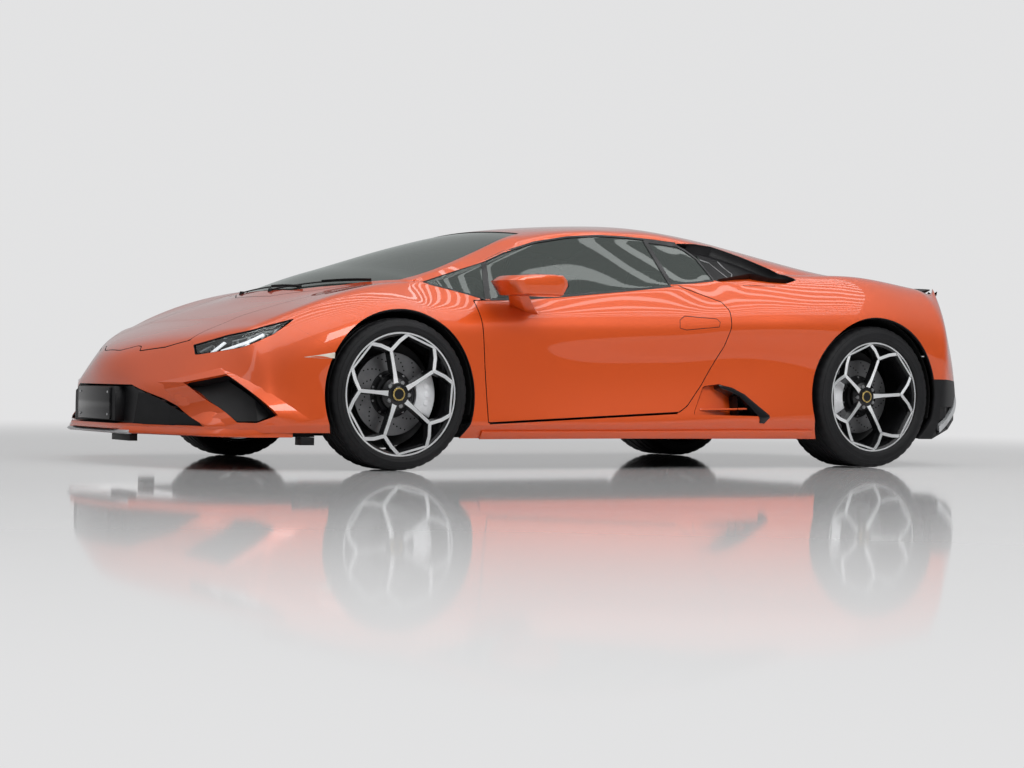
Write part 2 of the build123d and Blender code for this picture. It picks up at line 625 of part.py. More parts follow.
def mirror_unit(sign):
    """A door mirror: the housing on its slanted foot, seated on the door's skin."""
    with BuildPart() as unit:
        with BuildSketch(Plane.XZ.offset(950)):
            Polygon((-765, 822), (-742, 860), (-500, 856), (-462, 836), (-470, 786), (-560, 768), (-735, 790),
                    align=None)
        with BuildSketch(Plane.XZ.offset(1112)):
            Polygon((-725, 826), (-712, 845), (-500, 848), (-480, 832), (-485, 800), (-560, 790), (-700, 802),
                    align=None)
        loft(ruled=True)
        with BuildSketch(Plane.XZ.offset(860)):
            Polygon((-640, 722), (-480, 674), (-500, 722), align=None)
        with BuildSketch(Plane.XZ.offset(970)):
            Polygon((-640, 800), (-500, 795), (-520, 815), align=None)
        loft(ruled=True)
    solid = unit.part - OUTER
    return solid if sign < 0 else mirrored(solid)


# ---- wheels ----
def lip_y(wheel):
    """The plane of a wheel's outer rim lip."""
    return wheel.track / 2 + wheel.width / 2 - 14


def hub_y(wheel):
    """The plane of a wheel's hub face."""
    return lip_y(wheel) - wheel.dish


def tyre(wheel):
    """A tyre as a turned ring with a rounded shoulder, on the car's left."""
    half, radius = wheel.width / 2, wheel.radius
    bead, seat = RIM_RADIUS + REST_GAP, RIM_RADIUS + RIM_LIP + REST_GAP
    profile = [(bead, -half + 16), (bead + 32, -half), (radius - 12, -half + 10), (radius, -half + 26),
               (radius, half - 26), (radius - 12, half - 10), (bead + 32, half), (seat, half - 14),
               (seat, half - 26 - REST_GAP), (bead, half - 26 - REST_GAP)]
    with BuildPart() as ring:
        with BuildSketch(Plane.XY):
            Polygon(*profile, align=None)
        revolve(axis=Axis.Y)
    return ring.part


def rim(wheel, first):
    """A wheel with five forked spokes; the outer side is +Y; first is the first spoke's angle."""
    lip = lip_y(wheel) - wheel.track / 2
    hub = hub_y(wheel) - wheel.track / 2
    back = -wheel.width / 2 + 16
    inner = RIM_RADIUS - RIM_WALL
    profile = [(RIM_RADIUS, back), (RIM_RADIUS, lip - 12), (RIM_RADIUS + RIM_LIP, lip - 12),
               (RIM_RADIUS + RIM_LIP, lip), (inner - 2, lip), (inner - RIM_WALL, lip - 40), (inner, lip - 60),
               (inner, back)]
    with BuildPart() as body:
        with BuildSketch(Plane.XY):
            Polygon(*profile, align=None)
        revolve(axis=Axis.Y)
        with BuildSketch(Plane.XZ.offset(-hub)):
            Circle(HUB_RADIUS)
        extrude(amount=SPOKE_DEPTH)
    solid = body.part
    face = RIM_RADIUS + RIM_LIP
    node = face * SPOKE_NODE
    depth = lip - hub
    node_y = hub + depth * 0.6
    for k in range(SPOKES):
        angle = math.radians(first + 360 / SPOKES * k)
        arms = [(HUB_RADIUS * 0.6, angle, hub, node, angle, node_y)]
        for sign in (-1, 1):
            end = angle + math.radians(sign * SPOKE_SPREAD)
            arms.append((node - 6, angle, node_y, inner + 2, end, lip - 4))
        for r0, a0, y0, r1, a1, y1 in arms:
            start = Vector(r0 * math.cos(a0), y0, r0 * math.sin(a0))
            finish = Vector(r1 * math.cos(a1), y1, r1 * math.sin(a1))
            along = finish - start
            with BuildPart() as spoke:
                with BuildSketch(Plane(origin=start, x_dir=along.cross(Vector(0, 1, 0)), z_dir=along)):
                    with Locations((0, SPOKE_DEPTH / 2 - 2)):
                        Rectangle(SPOKE_WIDTH, SPOKE_DEPTH - 4)
                extrude(amount=along.length)
            solid = solid + spoke.part
    trim = cross_cylinder(RIM_RADIUS, 0, 0, (back, lip)) + cross_cylinder(face, 0, 0, (lip - 12, lip))
    return solid & trim


def brake_disc(wheel, bore):
    """A vented disc and its bell, seated against the back of the wheel's hub."""
    middle = hub_y(wheel) - wheel.track / 2 - DISC_INSET
    seat = hub_y(wheel) - wheel.track / 2 - SPOKE_DEPTH
    disc = cross_cylinder(DISC_RADIUS, 0, 0, (middle - DISC_THICK / 2, middle + DISC_THICK / 2))
    disc = disc + cross_cylinder(BELL_RADIUS, 0, 0, (middle, seat))
    disc = disc - cross_cylinder(bore, 0, 0, (-400, 400))
    return disc


def place(solid, wheel, sign):
    """Put a wheel's piece on its hub: made with its outer side to +Y."""
    turned = solid if sign > 0 else mirrored(solid)
    return Pos(wheel.axle_x, sign * wheel.track / 2, wheel.radius) * turned


# ---- running gear ----
def knuckle():
    """The right front knuckle: an upright with the spindle and the caliper's bracket."""
    x, z = FRONT.axle_x, FRONT.radius
    body = block((x - UPRIGHT_HALF, x + UPRIGHT_HALF), (776, 816), (z - ARM_RISE + 18, z + ARM_RISE - 18))
    body = body + block((x, x + CALIPER_INNER), (786, 806), (z - 40, z + 40))
    body = body + cross_cylinder(SPINDLE_RADIUS, x, z, (776, hub_y(FRONT) - 12))
    pins = bar((x, KINGPIN_Y, z - ARM_RISE), (x, KINGPIN_Y, z - KINGPIN_REACH), KINGPIN_RADIUS + RUN_GAP)
    pins = pins + bar((x, KINGPIN_Y, z + KINGPIN_REACH), (x, KINGPIN_Y, z + ARM_RISE), KINGPIN_RADIUS + RUN_GAP)
    return body - pins


def caliper(wheel, towards):
    """A right-hand caliper over the disc's edge, on the side towards +X or -X."""
    middle = hub_y(wheel) - DISC_INSET
    x, z = wheel.axle_x, wheel.radius
    ends = sorted((x + towards * CALIPER_INNER, x + towards * (CALIPER_OUTER + 20)))
    body = block(ends, (middle - DISC_THICK / 2 - 32, middle + DISC_THICK / 2 + 20), (z - CALIPER_HALF, z + CALIPER_HALF))
    body = body & cross_cylinder(CALIPER_OUTER, x, z, (0, REACH))
    slot = cross_cylinder(DISC_RADIUS + DISC_AIR, x, z,
                          (middle - DISC_THICK / 2 - DISC_AIR, middle + DISC_THICK / 2 + DISC_AIR))
    return body - slot


def upright():
    """The right rear upright, bored for the half shaft, with the caliper's bracket."""
    x, z = REAR.axle_x, REAR.radius
    outer = hub_y(REAR) - DISC_INSET - DISC_THICK / 2 - DISC_AIR
    body = block((x - UPRIGHT_HALF - 12, x + UPRIGHT_HALF + 12), (outer - UPRIGHT_THICK, outer), (z - ARM_RISE, z + ARM_RISE))
    body = body + block((x - CALIPER_INNER, x), (outer - 24, outer - 4), (z - 40, z + 40))
    return body - cross_cylinder(SHAFT_RADIUS + RUN_GAP, x, z, (0, REACH))


def wishbones():
    """Upper and lower wishbones, front and rear, from the tub's inner wings to the uprights."""
    arms = []
    x, z = FRONT.axle_x, FRONT.radius
    for rise in (-ARM_RISE, ARM_RISE):
        eye = Vector(x, KINGPIN_Y, z + rise)
        inner_z = z + rise * 0.8
        arm = bar((x, KINGPIN_Y, z + rise - EYE_HALF), (x, KINGPIN_Y, z + rise + EYE_HALF), EYE_RADIUS)
        pin_end = z + math.copysign(KINGPIN_REACH, rise)
        arm = arm + bar((x, KINGPIN_Y, z + rise), (x, KINGPIN_Y, pin_end), KINGPIN_RADIUS)
        for spread in (-ARM_SPREAD, ARM_SPREAD):
            arm = arm + bar((x + spread, FRONT.well_inner_y - 5, inner_z), eye, ARM_RADIUS)
        arms.append(arm - block((x - 300, x + 300), (0, FRONT.well_inner_y), (0, 900)))
    x, z = REAR.axle_x, REAR.radius
    face = hub_y(REAR) - DISC_INSET - DISC_THICK / 2 - DISC_AIR - UPRIGHT_THICK
    for rise in (-ARM_RISE * 0.8, ARM_RISE * 0.8):
        arm = None
        for spread in (-ARM_SPREAD, ARM_SPREAD):
            leg = bar((x + spread, REAR.well_inner_y - 5, z + rise), (x, face + 5, z + rise), ARM_RADIUS)
            arm = leg if arm is None else arm + leg
        arm = arm - block((x - 300, x + 300), (0, REAR.well_inner_y), (0, 900))
        arms.append(arm - block((x - 300, x + 300), (face, REACH), (0, 900)))
    return Compound(children=[s for arm in arms for s in both_sides(arm).solids()])


def half_shaft(sign):
    """A rear half shaft from the gearbox to the wheel's hub."""
    shaft = cross_cylinder(SHAFT_RADIUS, REAR.axle_x, REAR.radius, (GEARBOX_HALF + REST_GAP, hub_y(REAR) - 12))
    return shaft if sign > 0 else mirrored(shaft)


def engine_block():
    """The engine and gearbox as one plain mass."""
    engine = block((640, 1290), (-ENGINE_HALF, ENGINE_HALF), (FLOOR_TOP, 690))
    return engine + block((1200, 1740), (-GEARBOX_HALF, GEARBOX_HALF), (FLOOR_TOP, 520))


# ---- cabin ----
def seats():
    """Two bucket seats with side bolsters."""
    side = [(-330, 250), (-330, 330), (60, 300), (230, 620), (300, 960), (390, 985), (400, 900), (310, 560),
            (180, FLOOR_TOP), (-300, FLOOR_TOP)]
    bolster = [(-320, 240), (-320, 385), (-40, 380), (150, 700), (230, 720), (200, 300)]
    seat = side_prism(side, near=SEAT_Y - SEAT_HALF + 40, far=SEAT_Y + SEAT_HALF - 40, side=1)
    for near in (SEAT_Y - SEAT_HALF, SEAT_Y + SEAT_HALF - BOLSTER):
        seat = seat + side_prism(bolster, near=near, far=near + BOLSTER, side=1)
    return both_sides(seat)


def dashboard():
    """The dashboard across the cabin, behind the firewall."""
    profile = [(FIREWALL_X + PLATE, 590), (FIREWALL_X + PLATE, 745), (-860, 790), (-680, 775), (-640, 720),
               (-660, 610), (-780, 560)]
    edge = both_sides(block((FIREWALL_X, FRONT.axle_x + FRONT.arch_radius + 16),
                            (FRONT.well_inner_y - PLATE, REACH), (0, 700)))
    return (side_prism(profile, far=640) & INNER) - edge


def console():
    """The tunnel between the seats."""
    return side_prism([(-900, FLOOR_TOP), (-900, 480), (-650, 560), (-560, 480), (60, 430), (300, 430),
                       (300, FLOOR_TOP)], far=105)


def steering_wheel():
    """The steering wheel with three spokes, on its column."""
    lean = math.radians(WHEEL_TILT)
    facing = Plane(origin=WHEEL_CENTRE, x_dir=(0, 1, 0), z_dir=(math.cos(lean), 0, math.sin(lean)))
    with BuildPart() as wheel:
        with BuildSketch(Plane(origin=facing.origin, x_dir=facing.x_dir, z_dir=facing.y_dir)):
            with Locations((WHEEL_RADIUS, 0)):
                Circle(14)
        revolve(axis=Axis(facing.origin, facing.z_dir))
        with BuildSketch(facing.offset(-30)):
            Circle(52)
            with PolarLocations(0, 3, start_angle=-90):
                Rectangle(WHEEL_RADIUS, 34, align=(Align.MIN, Align.CENTER))
        extrude(amount=26)
        with BuildSketch(facing.offset(-30)):
            Circle(30)
        extrude(amount=-260)
    return wheel.part - dashboard()


# ---- write every piece ----
def main():
    """Build and write every piece."""
    save("cabin_frame", cabin_frame())
    save("front_bumper", front_bumper())
    save("splitter", splitter())
    core = body_form(GRILLE_DEPTH + 1, GRILLE_DEPTH + 1, GRILLE_DEPTH + 1, GRILLE_DEPTH + 1)
    save("front_grille", grille(mouth_cut, core, (-2300, -1980), (-760, 760), (184, 330)))
    save("intake_grilles", grille(intake_mouth, core, (-2200, -1700), (-1000, 1000), (215, 385)))
    save("plate_holder", plate_holder())
    save("bonnet", (SHELL & bonnet_cut) + lid_eyes(BONNET_HINGE, BONNET_LUG_Y, -1))
    save("front_fenders", front_fenders())
    save("headlamps", ((OUTER - GRILLE_BACK) & lamp_cut) - bonnet_clear)
    save("windscreen", windscreen())
    save("quarter_glass", quarter_glass())
    save("rear_screen", rear_screen())
    save("sills", (SHELL & sill_zone) - WELLS)
    save("rear_quarters", rear_quarters())
    save("ear_intakes", (GRILLE_FRONT - GRILLE_BACK) & ear_cut)
    save("side_intakes", (GRILLE_FRONT - GRILLE_BACK) & intake_cut)
    save("engine_lid", engine_lid())
    save("rear_bumper", rear_bumper())
    save("rear_grille", grille(tail_mouth_cut, core, (1980, 2300), (-600, 600), (575, 760)))
    save("tail_lamps", (OUTER - GRILLE_BACK) & tail_lamp_cut)
    save("diffuser", diffuser())
    save("exhaust_tips", exhaust_tips())
    save("tub", tub())
    save("arch_liners", arch_liners())
    save("engine_block", engine_block())
    save("seats", seats())
    save("dashboard", dashboard())
    save("console", console())
    save("steering_wheel", steering_wheel())
    save("wishbones", wishbones())
    save("rear_uprights", both_sides(upright()))
    save("rear_calipers", both_sides(caliper(REAR, -1)))
    for sign, end in ((-1, "l"), (1, "r")):
        save(f"door_{end}", door(sign))
        save(f"door_glass_{end}", door_glass(sign))
        save(f"mirror_{end}", mirror_unit(sign))
        save(f"knuckle_f{end}", knuckle() if sign > 0 else mirrored(knuckle()))
        save(f"caliper_f{end}", caliper(FRONT, 1) if sign > 0 else mirrored(caliper(FRONT, 1)))
        save(f"half_shaft_{end}", half_shaft(sign))
        for wheel, name, bore in ((FRONT, "f", SPINDLE_RADIUS), (REAR, "r", SHAFT_RADIUS)):
            bored = rim(wheel, FIRST_SPOKE[name]) - cross_cylinder(bore + RUN_GAP, 0, 0, (-400, hub_y(wheel) - wheel.track / 2 - 8))
            save(f"tyre_{name}{end}", place(tyre(wheel), wheel, sign))
            save(f"rim_{name}{end}", place(bored, wheel, sign))
            save(f"disc_{name}{end}", place(brake_disc(wheel, bore + RUN_GAP), wheel, sign))


main()
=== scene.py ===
"""Dresses the mid-engined supercar: smooth body skin, glass, lamps, wheels, cabin and a pale studio.

Sizes in the tables are millimetres in the frame of the solids; meshes are made in metres.
"""

import json
import logging
import math
from collections.abc import Callable, Sequence
from dataclasses import dataclass
from enum import Enum
from functools import cached_property

import bpy
import numpy as np
from mathutils import Matrix, Vector
from mathutils.bvhtree import BVHTree

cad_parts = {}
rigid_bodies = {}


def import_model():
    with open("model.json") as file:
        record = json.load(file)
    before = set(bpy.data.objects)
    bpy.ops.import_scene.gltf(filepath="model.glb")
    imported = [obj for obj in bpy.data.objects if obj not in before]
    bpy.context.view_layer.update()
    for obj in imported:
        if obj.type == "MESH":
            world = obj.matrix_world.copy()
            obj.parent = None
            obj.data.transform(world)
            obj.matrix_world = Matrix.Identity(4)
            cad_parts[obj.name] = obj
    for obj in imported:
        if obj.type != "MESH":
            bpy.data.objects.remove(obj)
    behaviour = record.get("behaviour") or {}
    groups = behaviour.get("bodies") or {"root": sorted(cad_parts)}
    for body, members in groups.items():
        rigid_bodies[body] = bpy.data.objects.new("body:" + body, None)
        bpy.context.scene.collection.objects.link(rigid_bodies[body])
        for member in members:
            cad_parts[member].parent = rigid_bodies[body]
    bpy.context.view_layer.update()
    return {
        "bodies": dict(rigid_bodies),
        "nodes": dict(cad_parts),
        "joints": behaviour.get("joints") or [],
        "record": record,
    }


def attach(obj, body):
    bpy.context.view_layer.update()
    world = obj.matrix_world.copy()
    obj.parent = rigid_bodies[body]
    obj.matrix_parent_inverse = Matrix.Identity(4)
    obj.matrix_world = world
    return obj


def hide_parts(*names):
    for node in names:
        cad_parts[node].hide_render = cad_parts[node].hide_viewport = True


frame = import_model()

log = logging.getLogger("supercar")
MM = 0.001
Point2 = tuple[float, float]
Point3 = tuple[float, float, float]
Line = Sequence[Point2]
Colour = tuple[float, float, float]
Material, Node, Piece, Socket = bpy.types.Material, bpy.types.Node, bpy.types.Object, bpy.types.NodeSocket
Field = Callable[[np.ndarray], np.ndarray]


# --- materials
class NodeTree:
    """A shorthand for building the nodes of a material or a world."""

    def __init__(self, owner: Material | bpy.types.World) -> None:
        """Start without nodes.

        Args:
            owner: What the nodes belong to.
        """
        self.owner = owner
        owner.use_nodes = True
        self.nodes, self.links = owner.node_tree.nodes, owner.node_tree.links
        self.nodes.clear()

    def feed(self, socket: Socket, value: object) -> None:
        """Give a socket a value, or link it to the socket given.

        Args:
            socket: The input.
            value: A value or an output.
        """
        if isinstance(value, Socket):
            self.links.new(value, socket)
        else:
            socket.default_value = value

    def add(self, kind: str, operation: str = "", **inputs: object) -> Node:
        """Add a node and feed its inputs.

        Args:
            kind: The node's type without its ShaderNode prefix.
            operation: What a math node does.
            **inputs: Socket names (underscores for spaces) with a value or an output.

        Returns:
            The new node.
        """
        node = self.nodes.new("ShaderNode" + kind)
        if operation:
            node.operation = operation
        for key, value in inputs.items():
            self.feed(node.inputs[key.replace("_", " ")], value)
        return node

    def math(self, operation: str, first: object, second: object) -> Socket:
        """Combine two values or outputs.

        Args:
            operation: The math node's operation.
            first: A value or output.
            second: A value or output.

        Returns:
            The result.
        """
        node = self.add("Math", operation)
        for socket, value in zip(node.inputs, (first, second)):
            self.feed(socket, value)
        return node.outputs[0]

    def mix(self, share: object, first: Node, second: Node) -> Node:
        """Mix two shaders.

        Args:
            share: The second one's share.
            first: A shader.
            second: A shader.

        Returns:
            The mix.
        """
        node = self.add("MixShader", Fac=share)
        for socket, shader in zip(node.inputs[1:], (first, second)):
            self.feed(socket, shader.outputs[0])
        return node

    def coords(self) -> Socket:
        """The object coordinates, in metres."""
        return self.nodes.new("ShaderNodeTexCoord").outputs["Object"]

    def noise(self, scale: float, detail: float = 2.0) -> Socket:
        """A noise factor over the object coordinates.

        Args:
            scale: Cells to the metre.
            detail: Octaves.

        Returns:
            The factor.
        """
        return self.add("TexNoise", Vector=self.coords(), Scale=scale, Detail=detail).outputs["Fac"]

    def ramp(self, factor: Socket, stops: Sequence[tuple[float, Sequence[float]]]) -> Socket:
        """A colour ramp.

        Args:
            factor: What drives the ramp.
            stops: Pairs of position and colour.

        Returns:
            The colour.
        """
        node = self.add("ValToRGB", Fac=factor)
        elements = node.color_ramp.elements
        while len(elements) < len(stops):
            elements.new(0.5)
        for element, (place, colour) in zip(elements, stops):
            element.position = place
            element.color = (*colour[:3], 1.0)
        return node.outputs["Color"]

    def bump(self, height: Socket, strength: float, distance: float) -> Socket:
        """A bump normal.

        Args:
            height: What drives it.
            strength: From 0 to 1.
            distance: Height of the relief in metres.

        Returns:
            The normal.
        """
        return self.add("Bump", Height=height, Strength=strength, Distance=distance).outputs["Normal"]

    def finish(self, shader: Node) -> Material | bpy.types.World:
        """Link the shader to an output.

        Args:
            shader: The last shader.

        Returns:
            The material or world, ready.
        """
        kind = "OutputWorld" if isinstance(self.owner, bpy.types.World) else "OutputMaterial"
        self.feed(self.add(kind).inputs["Surface"], shader.outputs[0])
        return self.owner


@dataclass(frozen=True)
class Lacquer:
    """Body paint: a pearl base under a clear coat."""

    name: str = "orange_pearl"
    deep: Colour = (0.39, 0.026, 0.003)
    bright: Colour = (0.62, 0.074, 0.005)
    roughness: float = 0.40
    metallic: float = 0.30
    flake_scale: float = 2600.0

    def material(self) -> Material:
        """Build the paint.

        Returns:
            The paint.
        """
        tree = NodeTree(bpy.data.materials.new(self.name))
        facing = tree.add("LayerWeight", Blend=0.45).outputs["Facing"]
        base = tree.ramp(facing, [(0.0, self.bright), (0.55, self.bright), (1.0, self.deep)])
        voronoi = tree.add("TexVoronoi", Vector=tree.coords(), Scale=self.flake_scale)
        flake = tree.bump(voronoi.outputs["Distance"], 0.06, 0.0001)
        shader = tree.add(
            "BsdfPrincipled", Base_Color=base, Metallic=self.metallic, Roughness=self.roughness, Normal=flake,
            Specular_IOR_Level=0.25, Coat_Weight=1.0, Coat_Roughness=0.025, Coat_IOR=1.52)
        return tree.finish(shader)


@dataclass(frozen=True)
class Moulding:
    """Moulded plastic, satin metal or rubber with a fine grain."""

    name: str
    colour: Colour
    roughness: float = 0.45
    metallic: float = 0.0
    grain: float = 900.0
    relief: float = 0.00008
    variation: float = 0.18
    specular: float = 0.5

    def material(self) -> Material:
        """Build the finish.

        Returns:
            The material.
        """
        tree = NodeTree(bpy.data.materials.new(self.name))
        low = [c * (1 - self.variation) for c in self.colour]
        high = [min(1.0, c * (1 + self.variation)) for c in self.colour]
        colour = tree.ramp(tree.noise(14.0, 4.0), [(0.3, low), (0.7, high)])
        normal = tree.bump(tree.noise(self.grain, 3.0), 0.35, self.relief)
        shader = tree.add(
            "BsdfPrincipled", Base_Color=colour, Metallic=self.metallic, Roughness=self.roughness,
            Specular_IOR_Level=self.specular, Normal=normal)
        return tree.finish(shader)


@dataclass(frozen=True)
class Glazing:
    """Tinted safety glass."""

    name: str
    tint: Colour = (0.30, 0.36, 0.33)
    clear: float = 0.72

    def material(self) -> Material:
        """Build the glass: a tinted film with a coated mirror-like surface.

        Returns:
            The glass.
        """
        tree = NodeTree(bpy.data.materials.new(self.name))
        wave = tree.bump(tree.noise(3.0, 1.0), 0.03, 0.001)
        gloss = tree.add("BsdfGlossy", Color=(0.9, 0.95, 0.93, 1.0), Roughness=0.015, Normal=wave)
        through = tree.add("BsdfTransparent", Color=(*self.tint, 1.0))
        film = tree.add("BsdfDiffuse", Color=(*[c * 0.35 for c in self.tint], 1.0))
        body = tree.mix(1.0 - self.clear, through, film)
        return tree.finish(tree.mix(tree.add("Fresnel", IOR=1.5).outputs[0], body, gloss))


@dataclass(frozen=True)
class Glow:
    """A light guide: frosted white plastic that is lit from behind."""

    name: str
    colour: Colour = (0.95, 0.97, 1.0)
    strength: float = 0.9

    def material(self) -> Material:
        """Build the finish.

        Returns:
            The material.
        """
        tree = NodeTree(bpy.data.materials.new(self.name))
        normal = tree.bump(tree.noise(700.0, 2.0), 0.2, 0.0001)
        shader = tree.add("BsdfPrincipled", Base_Color=(*self.colour, 1.0), Roughness=0.3, Normal=normal,
                          Emission_Color=(*self.colour, 1.0), Emission_Strength=self.strength)
        return tree.finish(shader)


@dataclass(frozen=True)
class Hide:
    """Dark leather with a pebbled grain."""

    name: str
    colour: Colour = (0.024, 0.023, 0.024)
    pebble: float = 420.0

    def material(self) -> Material:
        """Build the leather.

        Returns:
            The leather.
        """
        tree = NodeTree(bpy.data.materials.new(self.name))
        cells = tree.add("TexVoronoi", Vector=tree.coords(), Scale=self.pebble).outputs["Distance"]
        normal = tree.bump(cells, 0.45, 0.0004)
        colour = tree.ramp(
            tree.noise(9.0, 5.0),
            [(0.25, [c * 0.7 for c in self.colour]), (0.75, [c * 1.35 for c in self.colour])])
        shader = tree.add(
            "BsdfPrincipled", Base_Color=colour, Roughness=0.52, Normal=normal, Sheen_Weight=0.15)
        return tree.finish(shader)


class Look(Enum):
    """Every finish of the car."""

    PAINT = Lacquer()
    BLACK = Moulding("satin_black", (0.009, 0.009, 0.010), 0.48, specular=0.2)
    GLOSS_BLACK = Moulding("gloss_black", (0.006, 0.006, 0.007), 0.12, relief=0.00001, specular=0.35)
    LINER = Moulding("liner_black", (0.010, 0.010, 0.010), 0.85, specular=0.1)
    GREY = Moulding("satin_grey", (0.20, 0.20, 0.205), 0.35, 0.5)
    GLASS = Glazing("tinted_glass")
    CLEAR = Glazing("lamp_cover", (0.93, 0.95, 0.96), 0.97)
    RUBBER = Moulding("tyre_rubber", (0.010, 0.010, 0.011), 0.60, relief=0.0002, specular=0.2)
    RIM_BLACK = Moulding("wheel_black", (0.010, 0.010, 0.011), 0.24, 0.3, relief=0.00002)
    MACHINED = Moulding(
        "machined_face", (0.86, 0.87, 0.88), 0.30, 0.9, grain=1800.0, relief=0.00003, variation=0.06)
    STEEL = Moulding("plain_steel", (0.42, 0.42, 0.43), 0.32, 0.95, relief=0.00004)
    GOLD = Moulding("gold_ring", (0.75, 0.55, 0.20), 0.25, 0.95, relief=0.00002)
    DISC = Moulding("brake_disc", (0.15, 0.15, 0.155), 0.38, 0.85, grain=1400.0, relief=0.00005)
    CALIPER = Moulding("silver_caliper", (0.82, 0.83, 0.85), 0.34, 0.25, relief=0.00003)
    SMOKE = Moulding("smoked_metal", (0.060, 0.063, 0.068), 0.22, 0.7, relief=0.00002)
    MARKER = Moulding("marker_lens", (0.56, 0.50, 0.42), 0.2, relief=0.00002)
    SILVER = Moulding("satin_silver", (0.44, 0.45, 0.46), 0.33, 0.55, relief=0.00003)
    LIT = Glow("daylight_strip", strength=0.7)
    RED_GLOW = Glow("tail_strip", (0.75, 0.03, 0.02), 0.5)
    MIRROR = Moulding("mirror_glass", (0.75, 0.77, 0.78), 0.02, 1.0, relief=0.000001, variation=0.01)
    RED_LENS = Moulding("red_lens", (0.36, 0.008, 0.006), 0.08, relief=0.00001)
    LEATHER = Hide("cabin_leather")
    SUEDE = Moulding("cabin_suede", (0.030, 0.030, 0.033), 0.92, grain=2400.0, relief=0.00015)
    METAL = Moulding("cast_metal", (0.22, 0.22, 0.225), 0.5, 0.8, grain=600.0, relief=0.0003)

    @cached_property
    def material(self) -> Material:
        """The finish's material, made when it is first asked for."""
        return self.value.material()


# --- outlines and fields
@dataclass(frozen=True)
class Outline:
    """A closed outline in one of the three views; its field is the distance inside it."""

    points: Line
    axes: tuple[int, int]
    half: bool = False

    def distance(self, places: np.ndarray) -> np.ndarray:
        """Signed distance to the outline, positive inside.

        Args:
            places: Points (n, 3) in millimetres.

        Returns:
            One distance for each point.
        """
        flat = places[:, self.axes].copy()
        poly = list(self.points)
        if self.axes[1] == 1 or self.axes[0] == 1:
            column = 1 if self.axes[1] == 1 else 0
            flat[:, column] = np.abs(flat[:, column])
        if self.half:
            poly = [(x, y if y else -500.0) for x, y in poly]
        best = np.full(len(flat), np.inf)
        inside = np.zeros(len(flat), bool)
        for (x1, y1), (x2, y2) in zip(poly, poly[1:] + poly[:1]):
            edge = np.array((x2 - x1, y2 - y1))
            rel = flat - (x1, y1)
            share = np.clip(rel @ edge / max(edge @ edge, 1e-9), 0, 1)
            best = np.minimum(best, np.hypot(*(rel - share[:, None] * edge).T))
            crosses = (y1 > flat[:, 1]) != (y2 > flat[:, 1])
            if y1 != y2:
                inside ^= crosses & (flat[:, 0] < (x2 - x1) * (flat[:, 1] - y1) / (y2 - y1) + x1)
        return np.where(inside, best, -best)


def side_view(points: Line) -> Outline:
    """An outline in (x, z)."""
    return Outline(points, (0, 2))


def plan_view(points: Line) -> Outline:
    """An outline in (x, half width), mirrored about the middle."""
    return Outline(points, (0, 1), half=True)


def front_view(points: Line) -> Outline:
    """An outline in (half width, z)."""
    return Outline(points, (1, 2))


